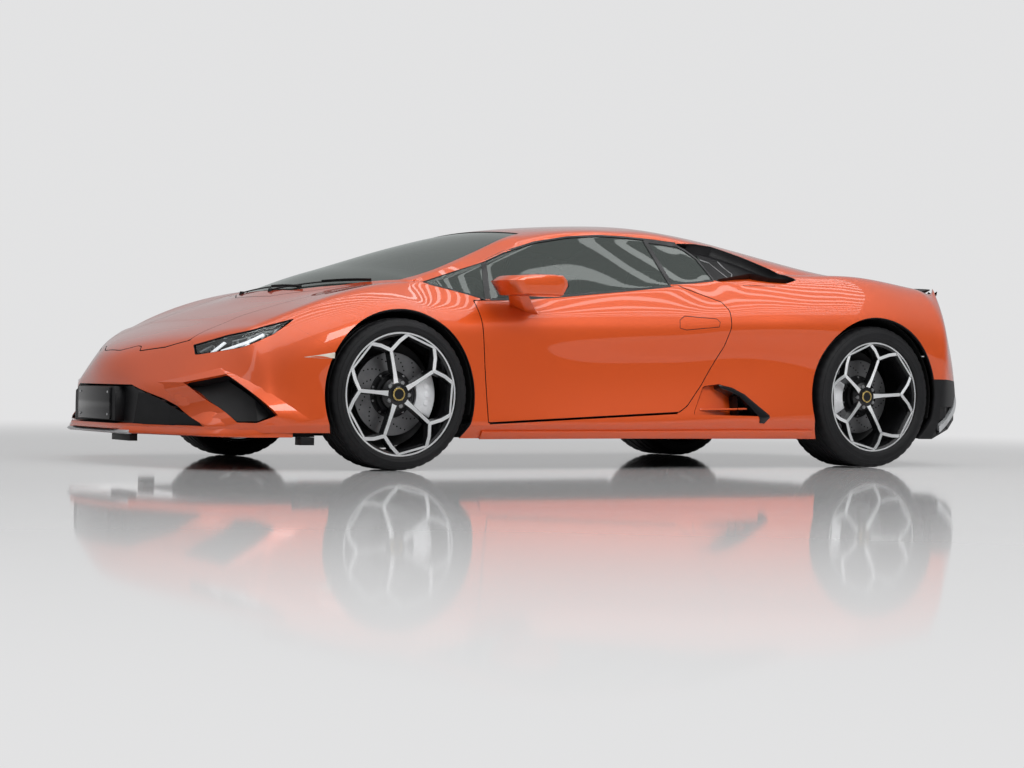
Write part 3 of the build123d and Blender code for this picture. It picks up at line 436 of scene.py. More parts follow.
# --- skins
class Skin:
    """A triangle mesh with a smooth normal at each vertex, that can be cut along the zero line of a field."""

    def __init__(self, places: np.ndarray, normals: np.ndarray, faces: np.ndarray) -> None:
        """Keep the arrays.

        Args:
            places: Points (n, 3), millimetres.
            normals: Unit normals (n, 3).
            faces: Triangles (m, 3).
        """
        self.places, self.normals, self.faces = places, normals, faces

    def cut(self, values: np.ndarray) -> "Skin":
        """Keep the part where the values are positive.

        Args:
            values: One number for each vertex.

        Returns:
            The part that is left, with new vertices on the zero line.
        """
        values = np.where(np.abs(values) < 1e-3, 1e-3, values)
        inside = values > 0
        count = inside[self.faces].sum(1)
        whole = self.faces[count == 3]
        mixed = self.faces[(count == 1) | (count == 2)]
        if len(mixed) == 0:
            return Skin(self.places, self.normals, whole).compact()
        odd = np.where(inside[mixed].sum(1) == 1, 1, 0)
        lone = (inside[mixed] == odd[:, None].astype(bool)).argmax(1)
        rows = np.arange(len(mixed))
        a, b, c = (mixed[rows, (lone + k) % 3] for k in range(3))
        pairs = np.sort(np.concatenate([np.stack([a, b], 1), np.stack([a, c], 1)]), axis=1)
        unique, back = np.unique(pairs, axis=0, return_inverse=True)
        back = back.reshape(-1)
        v0, v1 = values[unique[:, 0]], values[unique[:, 1]]
        share = (v0 / (v0 - v1))[:, None]
        new_places = self.places[unique[:, 0]] * (1 - share) + self.places[unique[:, 1]] * share
        new_normals = self.normals[unique[:, 0]] * (1 - share) + self.normals[unique[:, 1]] * share
        base = len(self.places)
        ab, ac = base + back[: len(mixed)], base + back[len(mixed):]
        tips = odd == 1
        parts = [whole, np.stack([a, ab, ac], 1)[tips], np.stack([ab, b, c], 1)[~tips],
                 np.stack([ab, c, ac], 1)[~tips]]
        return Skin(np.concatenate([self.places, new_places]), np.concatenate([self.normals, new_normals]),
                    np.concatenate(parts)).compact()

    def compact(self) -> "Skin":
        """Drop the vertices that no face uses."""
        used, back = np.unique(self.faces.reshape(-1), return_inverse=True)
        return Skin(self.places[used], self.normals[used], back.reshape(-1, 3))

    def keep(self, *fields: Field) -> "Skin":
        """Cut by several fields in turn.

        Args:
            *fields: Functions of the points, positive where the skin stays.

        Returns:
            The part inside all the fields.
        """
        skin = self
        for one in fields:
            skin = skin.cut(one(skin.places))
        return skin

    def moved(self, inward: float | np.ndarray) -> "Skin":
        """The skin pushed in along its normals.

        Args:
            inward: Distance in millimetres, one for all or one for each point.

        Returns:
            The moved skin.
        """
        return Skin(self.places - self.normals * np.reshape(inward, (-1, 1)), self.normals, self.faces)

    def rim(self) -> np.ndarray:
        """The directed edges of the open rims.

        Returns:
            Pairs of vertex numbers (k, 2).
        """
        edges = np.concatenate([self.faces[:, [0, 1]], self.faces[:, [1, 2]], self.faces[:, [2, 0]]])
        keys = np.sort(edges, axis=1)
        _, index, number = np.unique(keys, axis=0, return_index=True, return_counts=True)
        return edges[index[number == 1]]

    def build(self, name: str, flange: float | np.ndarray, looks: Sequence[Look], inner: int = 0,
              lined: bool = False, faced: bool = True) -> Piece:
        """Make the mesh object: the skin and a flange that turns in all round.

        Args:
            name: The piece's name.
            flange: How deep the flange goes, in millimetres; below zero it goes outwards.
            looks: The skin's finish first.
            inner: The material slot of the flange.
            lined: Whether an inner skin closes the back.
            faced: Whether the skin itself is made, not its flange alone.

        Returns:
            The new object.
        """
        parts = [(self.faces, 0, self.normals[self.faces.reshape(-1)])] if faced else []
        places = self.places
        if np.any(flange):
            edges = self.rim()
            rim, back = np.unique(edges.reshape(-1), return_inverse=True)
            back = back.reshape(-1, 2) + len(places)
            if lined:
                back, rim = edges + len(places), np.arange(len(places))
            depth = np.broadcast_to(flange, len(places))[:, None]
            places = np.concatenate([places, (places - self.normals * depth)[rim]])
            walls = np.concatenate([np.stack([edges[:, 1], edges[:, 0], back[:, 0]], 1),
                                    np.stack([edges[:, 1], back[:, 0], back[:, 1]], 1)])
            parts.append((walls, inner, np.zeros((len(walls) * 3, 3))))
            if lined:
                turned = self.faces[:, ::-1]
                parts.append((turned + len(self.places), inner, -self.normals[turned.reshape(-1)]))
        faces, slots, loops = zip(*((f, np.full(len(f), slot), normals) for f, slot, normals in parts))
        faces = np.concatenate(faces)
        if not faced:
            used, faces = np.unique(faces, return_inverse=True)
            places, faces = places[used], faces.reshape(-1, 3)
        return mesh_object(name, places, faces, looks, np.concatenate(slots), np.concatenate(loops))


def new_piece(mesh: bpy.types.Mesh, materials: Sequence[Material]) -> Piece:
    """Give a mesh its materials and link an object of the same name.

    Args:
        mesh: The mesh.
        materials: The materials, in the order of the slots.

    Returns:
        The object.
    """
    for material in materials:
        mesh.materials.append(material)
    piece = bpy.data.objects.new(mesh.name, mesh)
    bpy.context.scene.collection.objects.link(piece)
    return piece


def mesh_object(name: str, places: np.ndarray, faces: np.ndarray, looks: Sequence[Look], slots: np.ndarray,
                loops: np.ndarray) -> Piece:
    """Make a smooth mesh object from arrays in millimetres.

    Args:
        name: The object's name.
        places: Points (n, 3), millimetres.
        faces: Faces (m, 3).
        looks: The object's finishes.
        slots: The material slot of each face.
        loops: A normal for each face corner, zero where it is worked out.

    Returns:
        The linked object.
    """
    mesh = bpy.data.meshes.new(name)
    mesh.from_pydata((places * MM).tolist(), [], faces.tolist())
    mesh.polygons.foreach_set("material_index", slots.astype(np.int32))
    mesh.polygons.foreach_set("use_smooth", np.ones(len(mesh.polygons), bool))
    mesh.normals_split_custom_set(loops.tolist())
    mesh.update()
    return new_piece(mesh, [look.material for look in looks])


def dress(piece: Piece, body: str = "body", slot: str = "trim_black", *nodes: str) -> Piece:
    """Ride and replace nodes in one call.

    Args:
        piece: The new object.
        body: The body that it moves with.
        slot: The record's material slot; not used.
        *nodes: The solids that it stands for.

    Returns:
        The same object.
    """
    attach(piece, body)
    if nodes:
        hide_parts(*nodes)
    log.info("piece %s on %s", piece.name, body)
    return piece


# --- the body's form
@dataclass(frozen=True)
class Section:
    """One cross section: (half width, height) of each lengthwise line."""

    x: float
    sill: Point2
    rocker: Point2
    waist: Point2
    shoulder: Point2
    belt: Point2
    cant: Point2
    roof: Point2
    top: float


ROWS = ("sill", "rocker", "waist", "shoulder", "belt", "cant", "roof", "top")
SECTIONS = (
    Section(-2060, (810, 138), (835, 190), (630, 352), (525, 440), (350, 512), (240, 526), (120, 536), 541),
    Section(-1850, (885, 138), (922, 195), (868, 350), (815, 490), (710, 585), (560, 606), (320, 618), 623),
    Section(-1550, (905, 138), (948, 200), (950, 400), (930, 590), (790, 712), (600, 717), (350, 725), 730),
    Section(-1210, (905, 138), (952, 200), (958, 460), (945, 680), (775, 802), (640, 808), (560, 815), 874),
    Section(-1005, (900, 138), (950, 202), (945, 450), (928, 655), (760, 817), (740, 824), (688, 848), 938),
    Section(-735, (900, 138), (947, 205), (930, 430), (918, 640), (850, 748), (712, 900), (620, 943), 1022),
    Section(-370, (900, 138), (946, 210), (918, 430), (915, 640), (840, 775), (640, 1030), (520, 1075), 1106),
    Section(0, (900, 138), (946, 215), (912, 450), (915, 650), (825, 815), (615, 1080), (500, 1117), 1147),
    Section(300, (900, 138), (946, 225), (910, 470), (915, 665), (805, 850), (612, 1072), (500, 1122), 1163),
    Section(560, (900, 138), (946, 235), (908, 500), (915, 690), (778, 880), (635, 1035), (510, 1096), 1152),
    Section(1040, (905, 138), (952, 240), (945, 520), (950, 720), (790, 908), (705, 935), (560, 1005), 1080),
    Section(1410, (905, 138), (956, 235), (966, 520), (960, 735), (800, 915), (690, 938), (520, 956), 1002),
    Section(1790, (900, 138), (948, 240), (957, 500), (930, 720), (780, 882), (640, 905), (450, 917), 932),
    Section(2100, (820, 138), (860, 240), (875, 470), (840, 690), (710, 850), (590, 872), (420, 880), 888),
)
# the nose wraps round: for each line that ends at the leading edge, (x, half width, height) downwards
NOSE = {
    "shoulder": ((-1960, 640, 500), (-2020, 690, 365), (-2075, 770, 188), (-2065, 765, 139)),
    "belt": ((-2040, 440, 510), (-2110, 530, 356), (-2160, 570, 182), (-2148, 565, 139)),
    "cant": ((-2092, 290, 508), (-2168, 375, 354), (-2225, 390, 179), (-2212, 385, 139)),
    "roof": ((-2135, 140, 505), (-2200, 200, 352), (-2252, 215, 177), (-2240, 212, 139)),
    "top": ((-2147, 0, 504), (-2216, 0, 350), (-2258, 0, 176), (-2244, 0, 139)),
}
TAIL = {
    "shoulder": ((2000, 725, 845), (2035, 800, 560), (2075, 800, 300), (2030, 780, 190)),
    "belt": ((2080, 600, 868), (2115, 600, 590), (2185, 600, 318), (2115, 600, 240)),
    "cant": ((2122, 450, 875), (2138, 450, 610), (2225, 450, 324), (2135, 450, 245)),
    "roof": ((2148, 250, 878), (2148, 250, 620), (2245, 250, 328), (2145, 250, 248)),
    "top": ((2158, 0, 880), (2150, 0, 620), (2252, 0, 330), (2148, 0, 250)),
}
COLUMNS = (-1870, -1790, -1700, -1550, -1380, -1210, -1090, -1005, -870, -735, -550, -370, -180, 0, 150, 300,
           430, 560, 720, 880, 1040, 1220, 1410, 1600, 1790, 1890)


@dataclass(frozen=True)
class Crease:
    """A sharp stretch of one lengthwise line."""

    row: str
    start: float
    end: float
    weight: float


CREASES = (
    Crease("rocker", -2300, 2300, 0.75),
    Crease("shoulder", -1400, 1500, 0.25),
    Crease("belt", -1060, 650, 0.95),
    Crease("belt", -1950, -1060, 0.45),
    Crease("cant", -1000, 700, 0.95),
    Crease("roof", -1100, -300, 0.8),
)


class BodyForm:
    """The smooth outer form of the body, from a cage of sections."""

    def __init__(self, levels: int = 4) -> None:
        """Subdivide the cage.

        Args:
            levels: How many times each cage face is halved.
        """
        self.levels = levels
        self.nose_draw = 45.0
        self.points: list[Point3] = []
        self.quads: list[tuple[int, ...]] = []
        self.creases: dict[tuple[int, int], float] = {}
        self.lines = self.line_table()
        self.lay_cage()
        self.skin = self.subdivide()

    def line_table(self) -> dict[str, np.ndarray]:
        """Each line's (x, half width, height) at the columns, by monotone cubic curves.

        Returns:
            A table for each row of the cage.
        """
        xs = np.array([s.x for s in SECTIONS], float)
        lines = {}
        for row in ROWS:
            flat = [(0.0, s.top) if row == "top" else getattr(s, row) for s in SECTIONS]
            values = np.array(flat, float)
            lines[row] = np.stack(
                [np.array(COLUMNS, float)] + [monotone(xs, values[:, k], COLUMNS) for k in (0, 1)], 1)
        return lines

    def vertex(self, point: Sequence[float]) -> int:
        """Add a cage vertex and return its number."""
        self.points.append(tuple(float(v) for v in point))
        return len(self.points) - 1

    def lay_cage(self) -> None:
        """Lay the cage: lengthwise lines, wrapped nose and wrapped tail."""
        rows = {row: [self.vertex(p) for p in self.lines[row]] for row in ROWS}
        ends = []
        for table in (NOSE, TAIL):
            ends.append({row: [self.vertex(p) for p in table[row]] for row in table})
        upper = ROWS[3:]
        lower = ROWS[2::-1]
        for row in upper:
            rows[row] = [ends[0][row][0], *rows[row], ends[1][row][0]]
        for step, row in enumerate(lower, 1):
            rows[row] = [ends[0]["shoulder"][step], *rows[row], ends[1]["shoulder"][step]]
        for first, second in zip(ROWS, ROWS[1:]):
            a, b = rows[first], rows[second]
            for k in range(len(a) - 1):
                self.quads.append((a[k], a[k + 1], b[k + 1], b[k]))
        for end, flip in ((ends[0], False), (ends[1], True)):
            for first, second in zip(upper, upper[1:]):
                a, b = end[first], end[second]
                for k in range(3):
                    quad = (a[k], b[k], b[k + 1], a[k + 1])
                    self.quads.append(quad if not flip else quad[::-1])
        for crease in CREASES:
            line = rows[crease.row]
            for a, b in zip(line, line[1:]):
                middle = (self.points[a][0] + self.points[b][0]) / 2
                if crease.start <= middle <= crease.end:
                    self.creases[tuple(sorted((a, b)))] = crease.weight
        self.wrap_creases(ends)

    def wrap_creases(self, ends: list[dict[str, list[int]]]) -> None:
        """Carry the lip, sill and deck edges round the nose and tail.

        Args:
            ends: The vertices of the nose's and the tail's rows.
        """
        order = ROWS[3:]
        for end, weights in zip(ends, ((0.15, 0.75, 0.7, 0.7), (0.9, 0.4, 0.6, 0.5))):
            for first, second in zip(order, order[1:]):
                for step, weight in enumerate(weights):
                    self.creases[tuple(sorted((end[first][step], end[second][step])))] = weight

    def cage_mesh(self, points: np.ndarray) -> bpy.types.Mesh:
        """The mirrored cage as a mesh; the left half's vertices come first.

        Args:
            points: The half cage's points.

        Returns:
            The mesh, with its creases.
        """
        count = len(points)
        middle = np.abs(points[:, 1]) < 1e-6
        twin = np.where(middle, np.arange(count), count + np.cumsum(~middle) - 1)
        places = np.concatenate([points * (1, -1, 1), points[~middle]])
        faces = [tuple(q) for q in self.quads] + [tuple(int(twin[i]) for i in q[::-1]) for q in self.quads]
        mesh = bpy.data.meshes.new("cage")
        mesh.from_pydata(places.tolist(), [], faces)
        sharp = mesh.attributes.new("crease_edge", "FLOAT", "EDGE")
        weights = dict(self.creases)
        weights.update({tuple(sorted((int(twin[a]), int(twin[b])))): w for (a, b), w in self.creases.items()})
        sharp.data.foreach_set("value", [weights.get(tuple(sorted(e.vertices)), 0.0) for e in mesh.edges])
        return mesh

    def refined(self, points: np.ndarray, levels: int) -> bpy.types.Mesh:
        """The cage's mesh after subdivision.

        Args:
            points: The half cage's points.
            levels: How often each face is split.

        Returns:
            The smooth mesh.
        """
        cage = bpy.data.objects.new("cage", self.cage_mesh(points))
        bpy.context.scene.collection.objects.link(cage)
        modifier = cage.modifiers.new("smooth", "SUBSURF")
        modifier.levels = levels
        modifier.render_levels = levels
        modifier.boundary_smooth = "PRESERVE_CORNERS"
        graph = bpy.context.evaluated_depsgraph_get()
        mesh = bpy.data.meshes.new_from_object(cage.evaluated_get(graph))
        old = cage.data
        bpy.data.objects.remove(cage)
        bpy.data.meshes.remove(old)
        return mesh

    def subdivide(self) -> Skin:
        """Fit the cage so that the smooth form passes through the table, and refine it.

        Returns:
            The half body and its mirror as one skin.
        """
        targets = np.array(self.points)
        cage = targets.copy()
        for _ in range(5):
            mesh = self.refined(cage, 2)
            limit = np.array([mesh.vertices[k].co for k in range(len(cage))]) * (1, -1, 1)
            bpy.data.meshes.remove(mesh)
            cage += (targets - limit) * 0.9
            cage[targets[:, 1] < 1e-6, 1] = 0.0
        mesh = self.refined(cage, self.levels)
        count = len(mesh.vertices)
        places = np.zeros(count * 3, np.float32)
        normals = np.zeros(count * 3, np.float32)
        mesh.vertices.foreach_get("co", places)
        mesh.vertex_normals.foreach_get("vector", normals)
        corners = np.zeros(len(mesh.polygons) * 4, np.int32)
        mesh.polygons.foreach_get("vertices", corners)
        quads = corners.reshape(-1, 4)
        faces = np.concatenate([quads[:, [0, 1, 2]], quads[:, [0, 2, 3]]])
        places = places.reshape(-1, 3).astype(float)
        across = smooth_step((np.abs(places[:, 1]) - 200) / 250) * (
            1 - smooth_step((np.abs(places[:, 1]) - 680) / 160))
        low = (1 - smooth_step((places[:, 2] - 240) / 120)) * (places[:, 0] < -1700)
        places[:, 0] += self.nose_draw * across * low
        return Skin(places, normals.reshape(-1, 3).astype(float), faces)


def smooth_step(value: np.ndarray) -> np.ndarray:
    """An eased step from 0 to 1."""
    value = np.clip(value, 0, 1)
    return value * value * (3 - 2 * value)


def monotone(xs: np.ndarray, ys: np.ndarray, at: Sequence[float]) -> np.ndarray:
    """A monotone cubic through the points.

    Args:
        xs: Rising places.
        ys: Values there.
        at: Places to read.

    Returns:
        The values at those places.
    """
    step = np.diff(xs)
    slope = np.diff(ys) / step
    tangent = np.zeros(len(xs))
    tangent[0], tangent[-1] = slope[0], slope[-1]
    for k in range(1, len(xs) - 1):
        if slope[k - 1] * slope[k] > 0:
            w1, w2 = 2 * step[k] + step[k - 1], step[k] + 2 * step[k - 1]
            tangent[k] = (w1 + w2) / (w1 / slope[k - 1] + w2 / slope[k])
    at = np.asarray(at, float)
    k = np.clip(np.searchsorted(xs, at) - 1, 0, len(xs) - 2)
    t = (at - xs[k]) / step[k]
    start, leave = 2 * t**3 - 3 * t**2 + 1, t**3 - 2 * t**2 + t
    end, arrive = -2 * t**3 + 3 * t**2, t**3 - t**2
    return start * ys[k] + leave * step[k] * tangent[k] + end * ys[k + 1] + arrive * step[k] * tangent[k + 1]


# --- panels
HALF_GAP = 2.25
FAR = 1e5
IGNORED = 1e4  # a field's value where it doesn't count
ARCHES = ((-1210, 327.5, 366), (1410, 345.5, 387))  # x, z, radius
ARCH_DEPTH = 560
SIDES = ((-1, "l"), (1, "r"))
EAR = side_view((
    (438, 1049), (444, 1062), (560, 1066), (678, 1058), (830, 1010), (958, 958), (1038, 908), (900, 872),
    (700, 868), (556, 888), (520, 990), (474, 1030)))
SCOOP = side_view((
    (400, 382), (488, 392), (564, 377), (634, 346), (695, 301), (768, 250), (768, 240), (740, 216),
    (600, 217), (340, 226), (336, 262)))
MOUTH = front_view(((-790, 184), (790, 184), (508, 291), (315, 347), (-315, 347), (-508, 291)))
INTAKE = side_view(((-2066, 356), (-1939, 393), (-1788, 231), (-1874, 200), (-1937, 200)))
LAMP = side_view(((-1993, 521), (-1894, 565), (-1668, 637), (-1760, 572), (-1878, 515), (-2003, 482)))


@dataclass
class PanelMap:
    """The shut lines, in millimetres: what each panel covers on the body's form."""

    door_front: Line = ((-777, 208), (-789, 430), (-800, 640), (-806, 745))
    door_rear: Line = ((252, 262), (300, 292), (387, 388), (520, 569), (556, 660), (566, 742), (541, 782),
                       (369, 838), (318, 858))
    bonnet: Outline = plan_view((
        (-2148, 0), (-2153, 60), (-2150, 95), (-2132, 140), (-2106, 190), (-2104, 220), (-2120, 240),
        (-2060, 380), (-1993, 488), (-1955, 486), (-1850, 466), (-1746, 455), (-1570, 500), (-1395, 581),
        (-1214, 660), (-1214, 590), (-1375, 420), (-1480, 190), (-1502, 0)))
    screen: Outline = plan_view((
        (-1449, 0), (-1400, 250), (-1280, 480), (-1078, 682), (-900, 652), (-735, 608), (-368, 508),
        (-378, 250), (-380, 0)))
    lid: Outline = plan_view(((668, 0), (668, 300), (1040, 420), (1790, 430), (1900, 400), (1900, 0)))
    quarter: Outline = side_view(((-1010, 820), (-657, 929), (-742, 752), (-800, 765)))
    rear_light: Outline = side_view(
        ((292, 860), (266, 1064), (438, 1049), (474, 1030), (520, 990), (556, 888), (420, 870)))
    tail_lamp: Outline = side_view(((1990, 725), (1990, 775), (2300, 775), (2300, 705)))
    tail_mouth: Outline = front_view(((-620, 560), (620, 560), (620, 770), (-620, 770)))
    sill: Outline = side_view((
        (-1300, 200), (-777, 200), (252, 254), (420, 250), (1060, 242), (1500, 242), (1500, -200),
        (-1300, -200)))
    bumper: Outline = side_view((
        (-3000, 0), (-1300, 0), (-1534, 505), (-1690, 612), (-1878, 515), (-2003, 482), (-1993, 521),
        (-1993, 700), (-3000, 700)))
    cowl: Outline = plan_view((
        (-1493, 0), (-1471, 190), (-1366, 420), (-1207, 580), (-1207, 640), (-1120, 700), (-1085, 730),
        (-1085, 0)))
    belt: Line = ((-1085, 812), (-1005, 817), (-735, 748), (-370, 775), (0, 815), (300, 850), (560, 884),
                  (648, 884))
    cant: Line = ((-1085, 818), (-1005, 826), (-735, 898), (-550, 972), (-370, 1026), (-180, 1060),
                  (0, 1076), (150, 1076), (300, 1070))
    tail_dark: Outline = front_view((
        (-990, 0), (-990, 440), (-800, 425), (-690, 372), (-600, 340), (-470, 478), (470, 478), (600, 340),
        (690, 372), (800, 425), (990, 440), (990, 0)))
    tail_x: float = 1830.0
    corner_x: float = 1735.0
    diffuser_top: float = 300.0
    splitter_top: float = 160.0
    sill_z: float = 138.5

    def belt_height(self, places: np.ndarray) -> np.ndarray:
        """The height of the belt line over each point."""
        return np.interp(places[:, 0], *zip(*self.belt))


def arches(places: np.ndarray) -> np.ndarray:
    """The distance outside the four wheel arches."""
    front, rear = (np.hypot(places[:, 0] - x, places[:, 2] - z) - radius for x, z, radius in ARCHES)
    return np.maximum(np.minimum(front, rear), np.where(np.abs(places[:, 1]) > ARCH_DEPTH, -IGNORED, IGNORED))


def inside(outline: Outline, grow: float = 0.0) -> Field:
    """A field that is positive inside an outline drawn in by half a gap."""
    return lambda places: outline.distance(places) - HALF_GAP + grow


def outside(outline: Outline, grow: float = 0.0, near: float = 0.0, above: float = -FAR) -> Field:
    """A field that is positive outside an outline.

    Args:
        outline: The outline.
        grow: How far it is grown first.
        near: It counts only further than this from the middle.
        above: It counts only above this height.

    Returns:
        The field.
    """
    return lambda places: np.where((np.abs(places[:, 1]) < near) | (places[:, 2] < above), IGNORED,
                                   -outline.distance(places) - HALF_GAP - grow)


def between(axis: int, low: float = -FAR, high: float = FAR) -> Field:
    """A field that is positive between two planes across an axis."""
    return lambda places: np.minimum(places[:, axis] - low, high - places[:, axis])


def beyond(half: float) -> Field:
    """A field that is positive further from the middle than a half width."""
    return lambda places: np.abs(places[:, 1]) - half


def where(test: Field, value: Field) -> Field:
    """A field that holds only where the test is true."""
    return lambda places: np.where(test(places), value(places), IGNORED)


def shallow(skin: Skin, flange: float, shut: Outline, edge: float) -> np.ndarray:
    """A flange that is shallow along one shut line, where another panel swings past.

    Args:
        skin: The panel's skin.
        flange: Its depth elsewhere.
        shut: The swinging panel's outline.
        edge: The depth beside it.

    Returns:
        The depth at each point.
    """
    return edge + (flange - edge) * np.clip((-shut.distance(skin.places) - 8) / 60, 0, 1)


def panel(
        name: str, skin: Skin, flange: float | np.ndarray, *nodes: str, body: str = "body",
        slot: str = "paint", look: Look = Look.PAINT) -> None:
    """Build and dress one panel; its flange is satin black, painted shade that darkens the shut lines.

    Args:
        name: The piece's name.
        skin: Its skin.
        flange: The depth of its turned edge.
        *nodes: The solids that it stands for.
        body: The body that it moves with.
        slot: The record's material slot.
        look: Its finish.
    """
    # The flange slot is satin black: painted shade in the shut lines, where the real flanges carry the
    # panel's paint.
    dress(skin.build(name, flange, [look, Look.BLACK], 1, look is not Look.GLASS), body, slot, *nodes)


@dataclass
class Panels:
    """Cuts the form into the body's panels and glass."""

    form: Skin
    shuts: PanelMap

    def __post_init__(self) -> None:
        """Join the lines that bound the doors and their windows."""
        s = self.shuts
        self.door = side_view([*s.door_front, (-735, 748), *s.belt[3:6], *s.door_rear[::-1]])
        self.window = side_view(
            [(-728, 752), *s.belt[3:5], (288, 849), (262, 1071), *s.cant[::-1][1:7], (-660, 930)])
        self.flank = where(lambda p: np.abs(p[:, 1]) > ARCH_DEPTH, outside(self.door))
        self.above_sill = where(lambda p: np.abs(p[:, 1]) > ARCH_DEPTH, outside(s.sill, -HALF_GAP))

    def build(self) -> None:
        """Cut and dress every panel."""
        self.nose()
        self.glasshouse()
        self.doors()
        self.rear()

    def nose(self) -> None:
        """The nose, the front wings and the bonnet."""
        s = self.shuts
        around = (outside(s.bonnet, above=460), outside(LAMP, near=440))
        panel("nose_panel", self.form.keep(between(0, -3000, -1300)).keep(
            s.bumper.distance, *around, outside(MOUTH), outside(INTAKE, near=500), arches,
            between(2, s.splitter_top)), 30, "front_bumper")
        wings = self.form.keep(between(0, -2200, -700)).keep(
            lambda p: -s.bumper.distance(p) - 0.3, *around,
            where(lambda p: p[:, 2] > 600, outside(s.cowl, -HALF_GAP)),
            where(lambda p: p[:, 0] > -1086, lambda p: s.belt_height(p) - p[:, 2]),
            self.flank, arches, self.above_sill, between(0, -2200, -770), between(2, 200))
        panel(
            "wing_panels", wings,
            np.minimum(shallow(wings, 22, self.door, 3), shallow(wings, 22, s.bonnet, 6)), "front_fenders")
        panel("bonnet_panel", self.form.keep(between(0, -2300, -1100), between(2, 460), inside(s.bonnet)), 20,
              "bonnet", body="bonnet")

    def glasshouse(self) -> None:
        """The roof with its posts, and the fixed glass."""
        s = self.shuts
        frame = self.form.keep(between(0, -1510, 648), between(2, 690))
        posts = frame.keep(
            lambda p: np.maximum(s.cowl.distance(p), np.minimum(np.minimum(p[:, 0] + 1086, 648 - p[:, 0]),
                                                                p[:, 2] - s.belt_height(p))),
            outside(s.bonnet), outside(s.screen, -1),
            *(outside(opening, -1, near=400) for opening in (self.window, s.quarter, s.rear_light, EAR)))
        panel("roof_panel", posts, 3 + 23 * np.clip((posts.places[:, 0] + 1050) / 90, 0, 1), "cabin_frame")
        quarters = frame.keep(lambda p: np.maximum(s.quarter.distance(p), s.rear_light.distance(p)),
                              between(0, -1100, 640), beyond(480))
        for name, skin, node in (("front_screen", frame.keep(inside(s.screen, 1)), "windscreen"),
                                 ("quarter_panes", quarters, "quarter_glass")):
            panel(name, skin.moved(3), 6, node, slot="glass", look=Look.GLASS)

    def doors(self) -> None:
        """Both doors and their panes."""
        ahead = side_view([*self.shuts.door_front, (-900, 745), (-900, 208)])
        for sign, end in SIDES:
            half = self.form.keep(lambda p: p[:, 1] * sign)
            pane = half.keep(between(2, 700), beyond(480), inside(self.window)).moved(3)
            panel(
                f"door_pane_{end}", pane, 6, f"door_glass_{end}", body=f"door_{end}", slot="glass",
                look=Look.GLASS)
            door = half.keep(between(0, -900, 620), between(2, 195), inside(self.door))
            panel(f"door_panel_{end}", door, shallow(door, 24, ahead, 4), f"door_{end}", body=f"door_{end}")

    def rear(self) -> None:
        """The haunches, the engine cover, the tail and the sills."""
        s = self.shuts
        haunch = self.form.keep(between(0, 240, s.tail_x), between(2, s.sill_z)).keep(
            self.flank, self.above_sill, arches, outside(s.lid, above=700), outside(EAR, near=400),
            outside(SCOOP, near=600),
            where(lambda p: p[:, 0] > s.corner_x, lambda p: -s.tail_dark.distance(p)),
            where(lambda p: p[:, 0] < 649, lambda p: s.belt_height(p) - p[:, 2]))
        panel("rear_wings", haunch, shallow(haunch, 26, s.lid, 4), "rear_quarters")
        cover = self.form.keep(between(0, 640, 1910), between(2, 700), inside(s.lid))
        ahead = plan_view([(s.lid.points[0][0], 0), (s.lid.points[0][0], 500), (0, 500), (0, 0)])
        panel("engine_cover", cover, shallow(cover, 20, ahead, 3), "engine_lid", body="engine_lid")
        panel("tail_panel", self.form.keep(
            between(0, s.tail_x, 3000), between(2, s.diffuser_top), arches, outside(s.lid, above=700),
            outside(s.tail_lamp, near=560), outside(s.tail_mouth), lambda p: -s.tail_dark.distance(p)), 26,
            "rear_bumper")
        panel("tail_valance", self.form.keep(
            between(0, s.corner_x, 3000), s.tail_dark.distance, arches,
            lambda p: p[:, 2] - np.where(p[:, 0] > s.tail_x, s.diffuser_top, s.sill_z)), 26, "rear_bumper",
            slot="trim_black", look=Look.BLACK)
        panel("sill_panels", self.form.keep(between(0, -1300, 1500), between(2, s.sill_z, 300), beyond(700),
                                            s.sill.distance, arches), 20, "sills")


# --- small mesh makers
def spot(radius: float, y: float, degrees: float) -> Point3:
    """A point at a radius and an angle round the Y axis."""
    turn = math.radians(degrees)
    return radius * math.cos(turn), y, radius * math.sin(turn)


def circle(
        centre: Vector | np.ndarray, first: Vector | np.ndarray, second: Vector | np.ndarray, radius: float,
        sides: int) -> list[Vector | np.ndarray]:
    """Points on a circle that two directions span."""
    return [centre + radius * (math.cos(t) * first + math.sin(t) * second)
            for t in np.linspace(0, 2 * math.pi, sides, endpoint=False)]


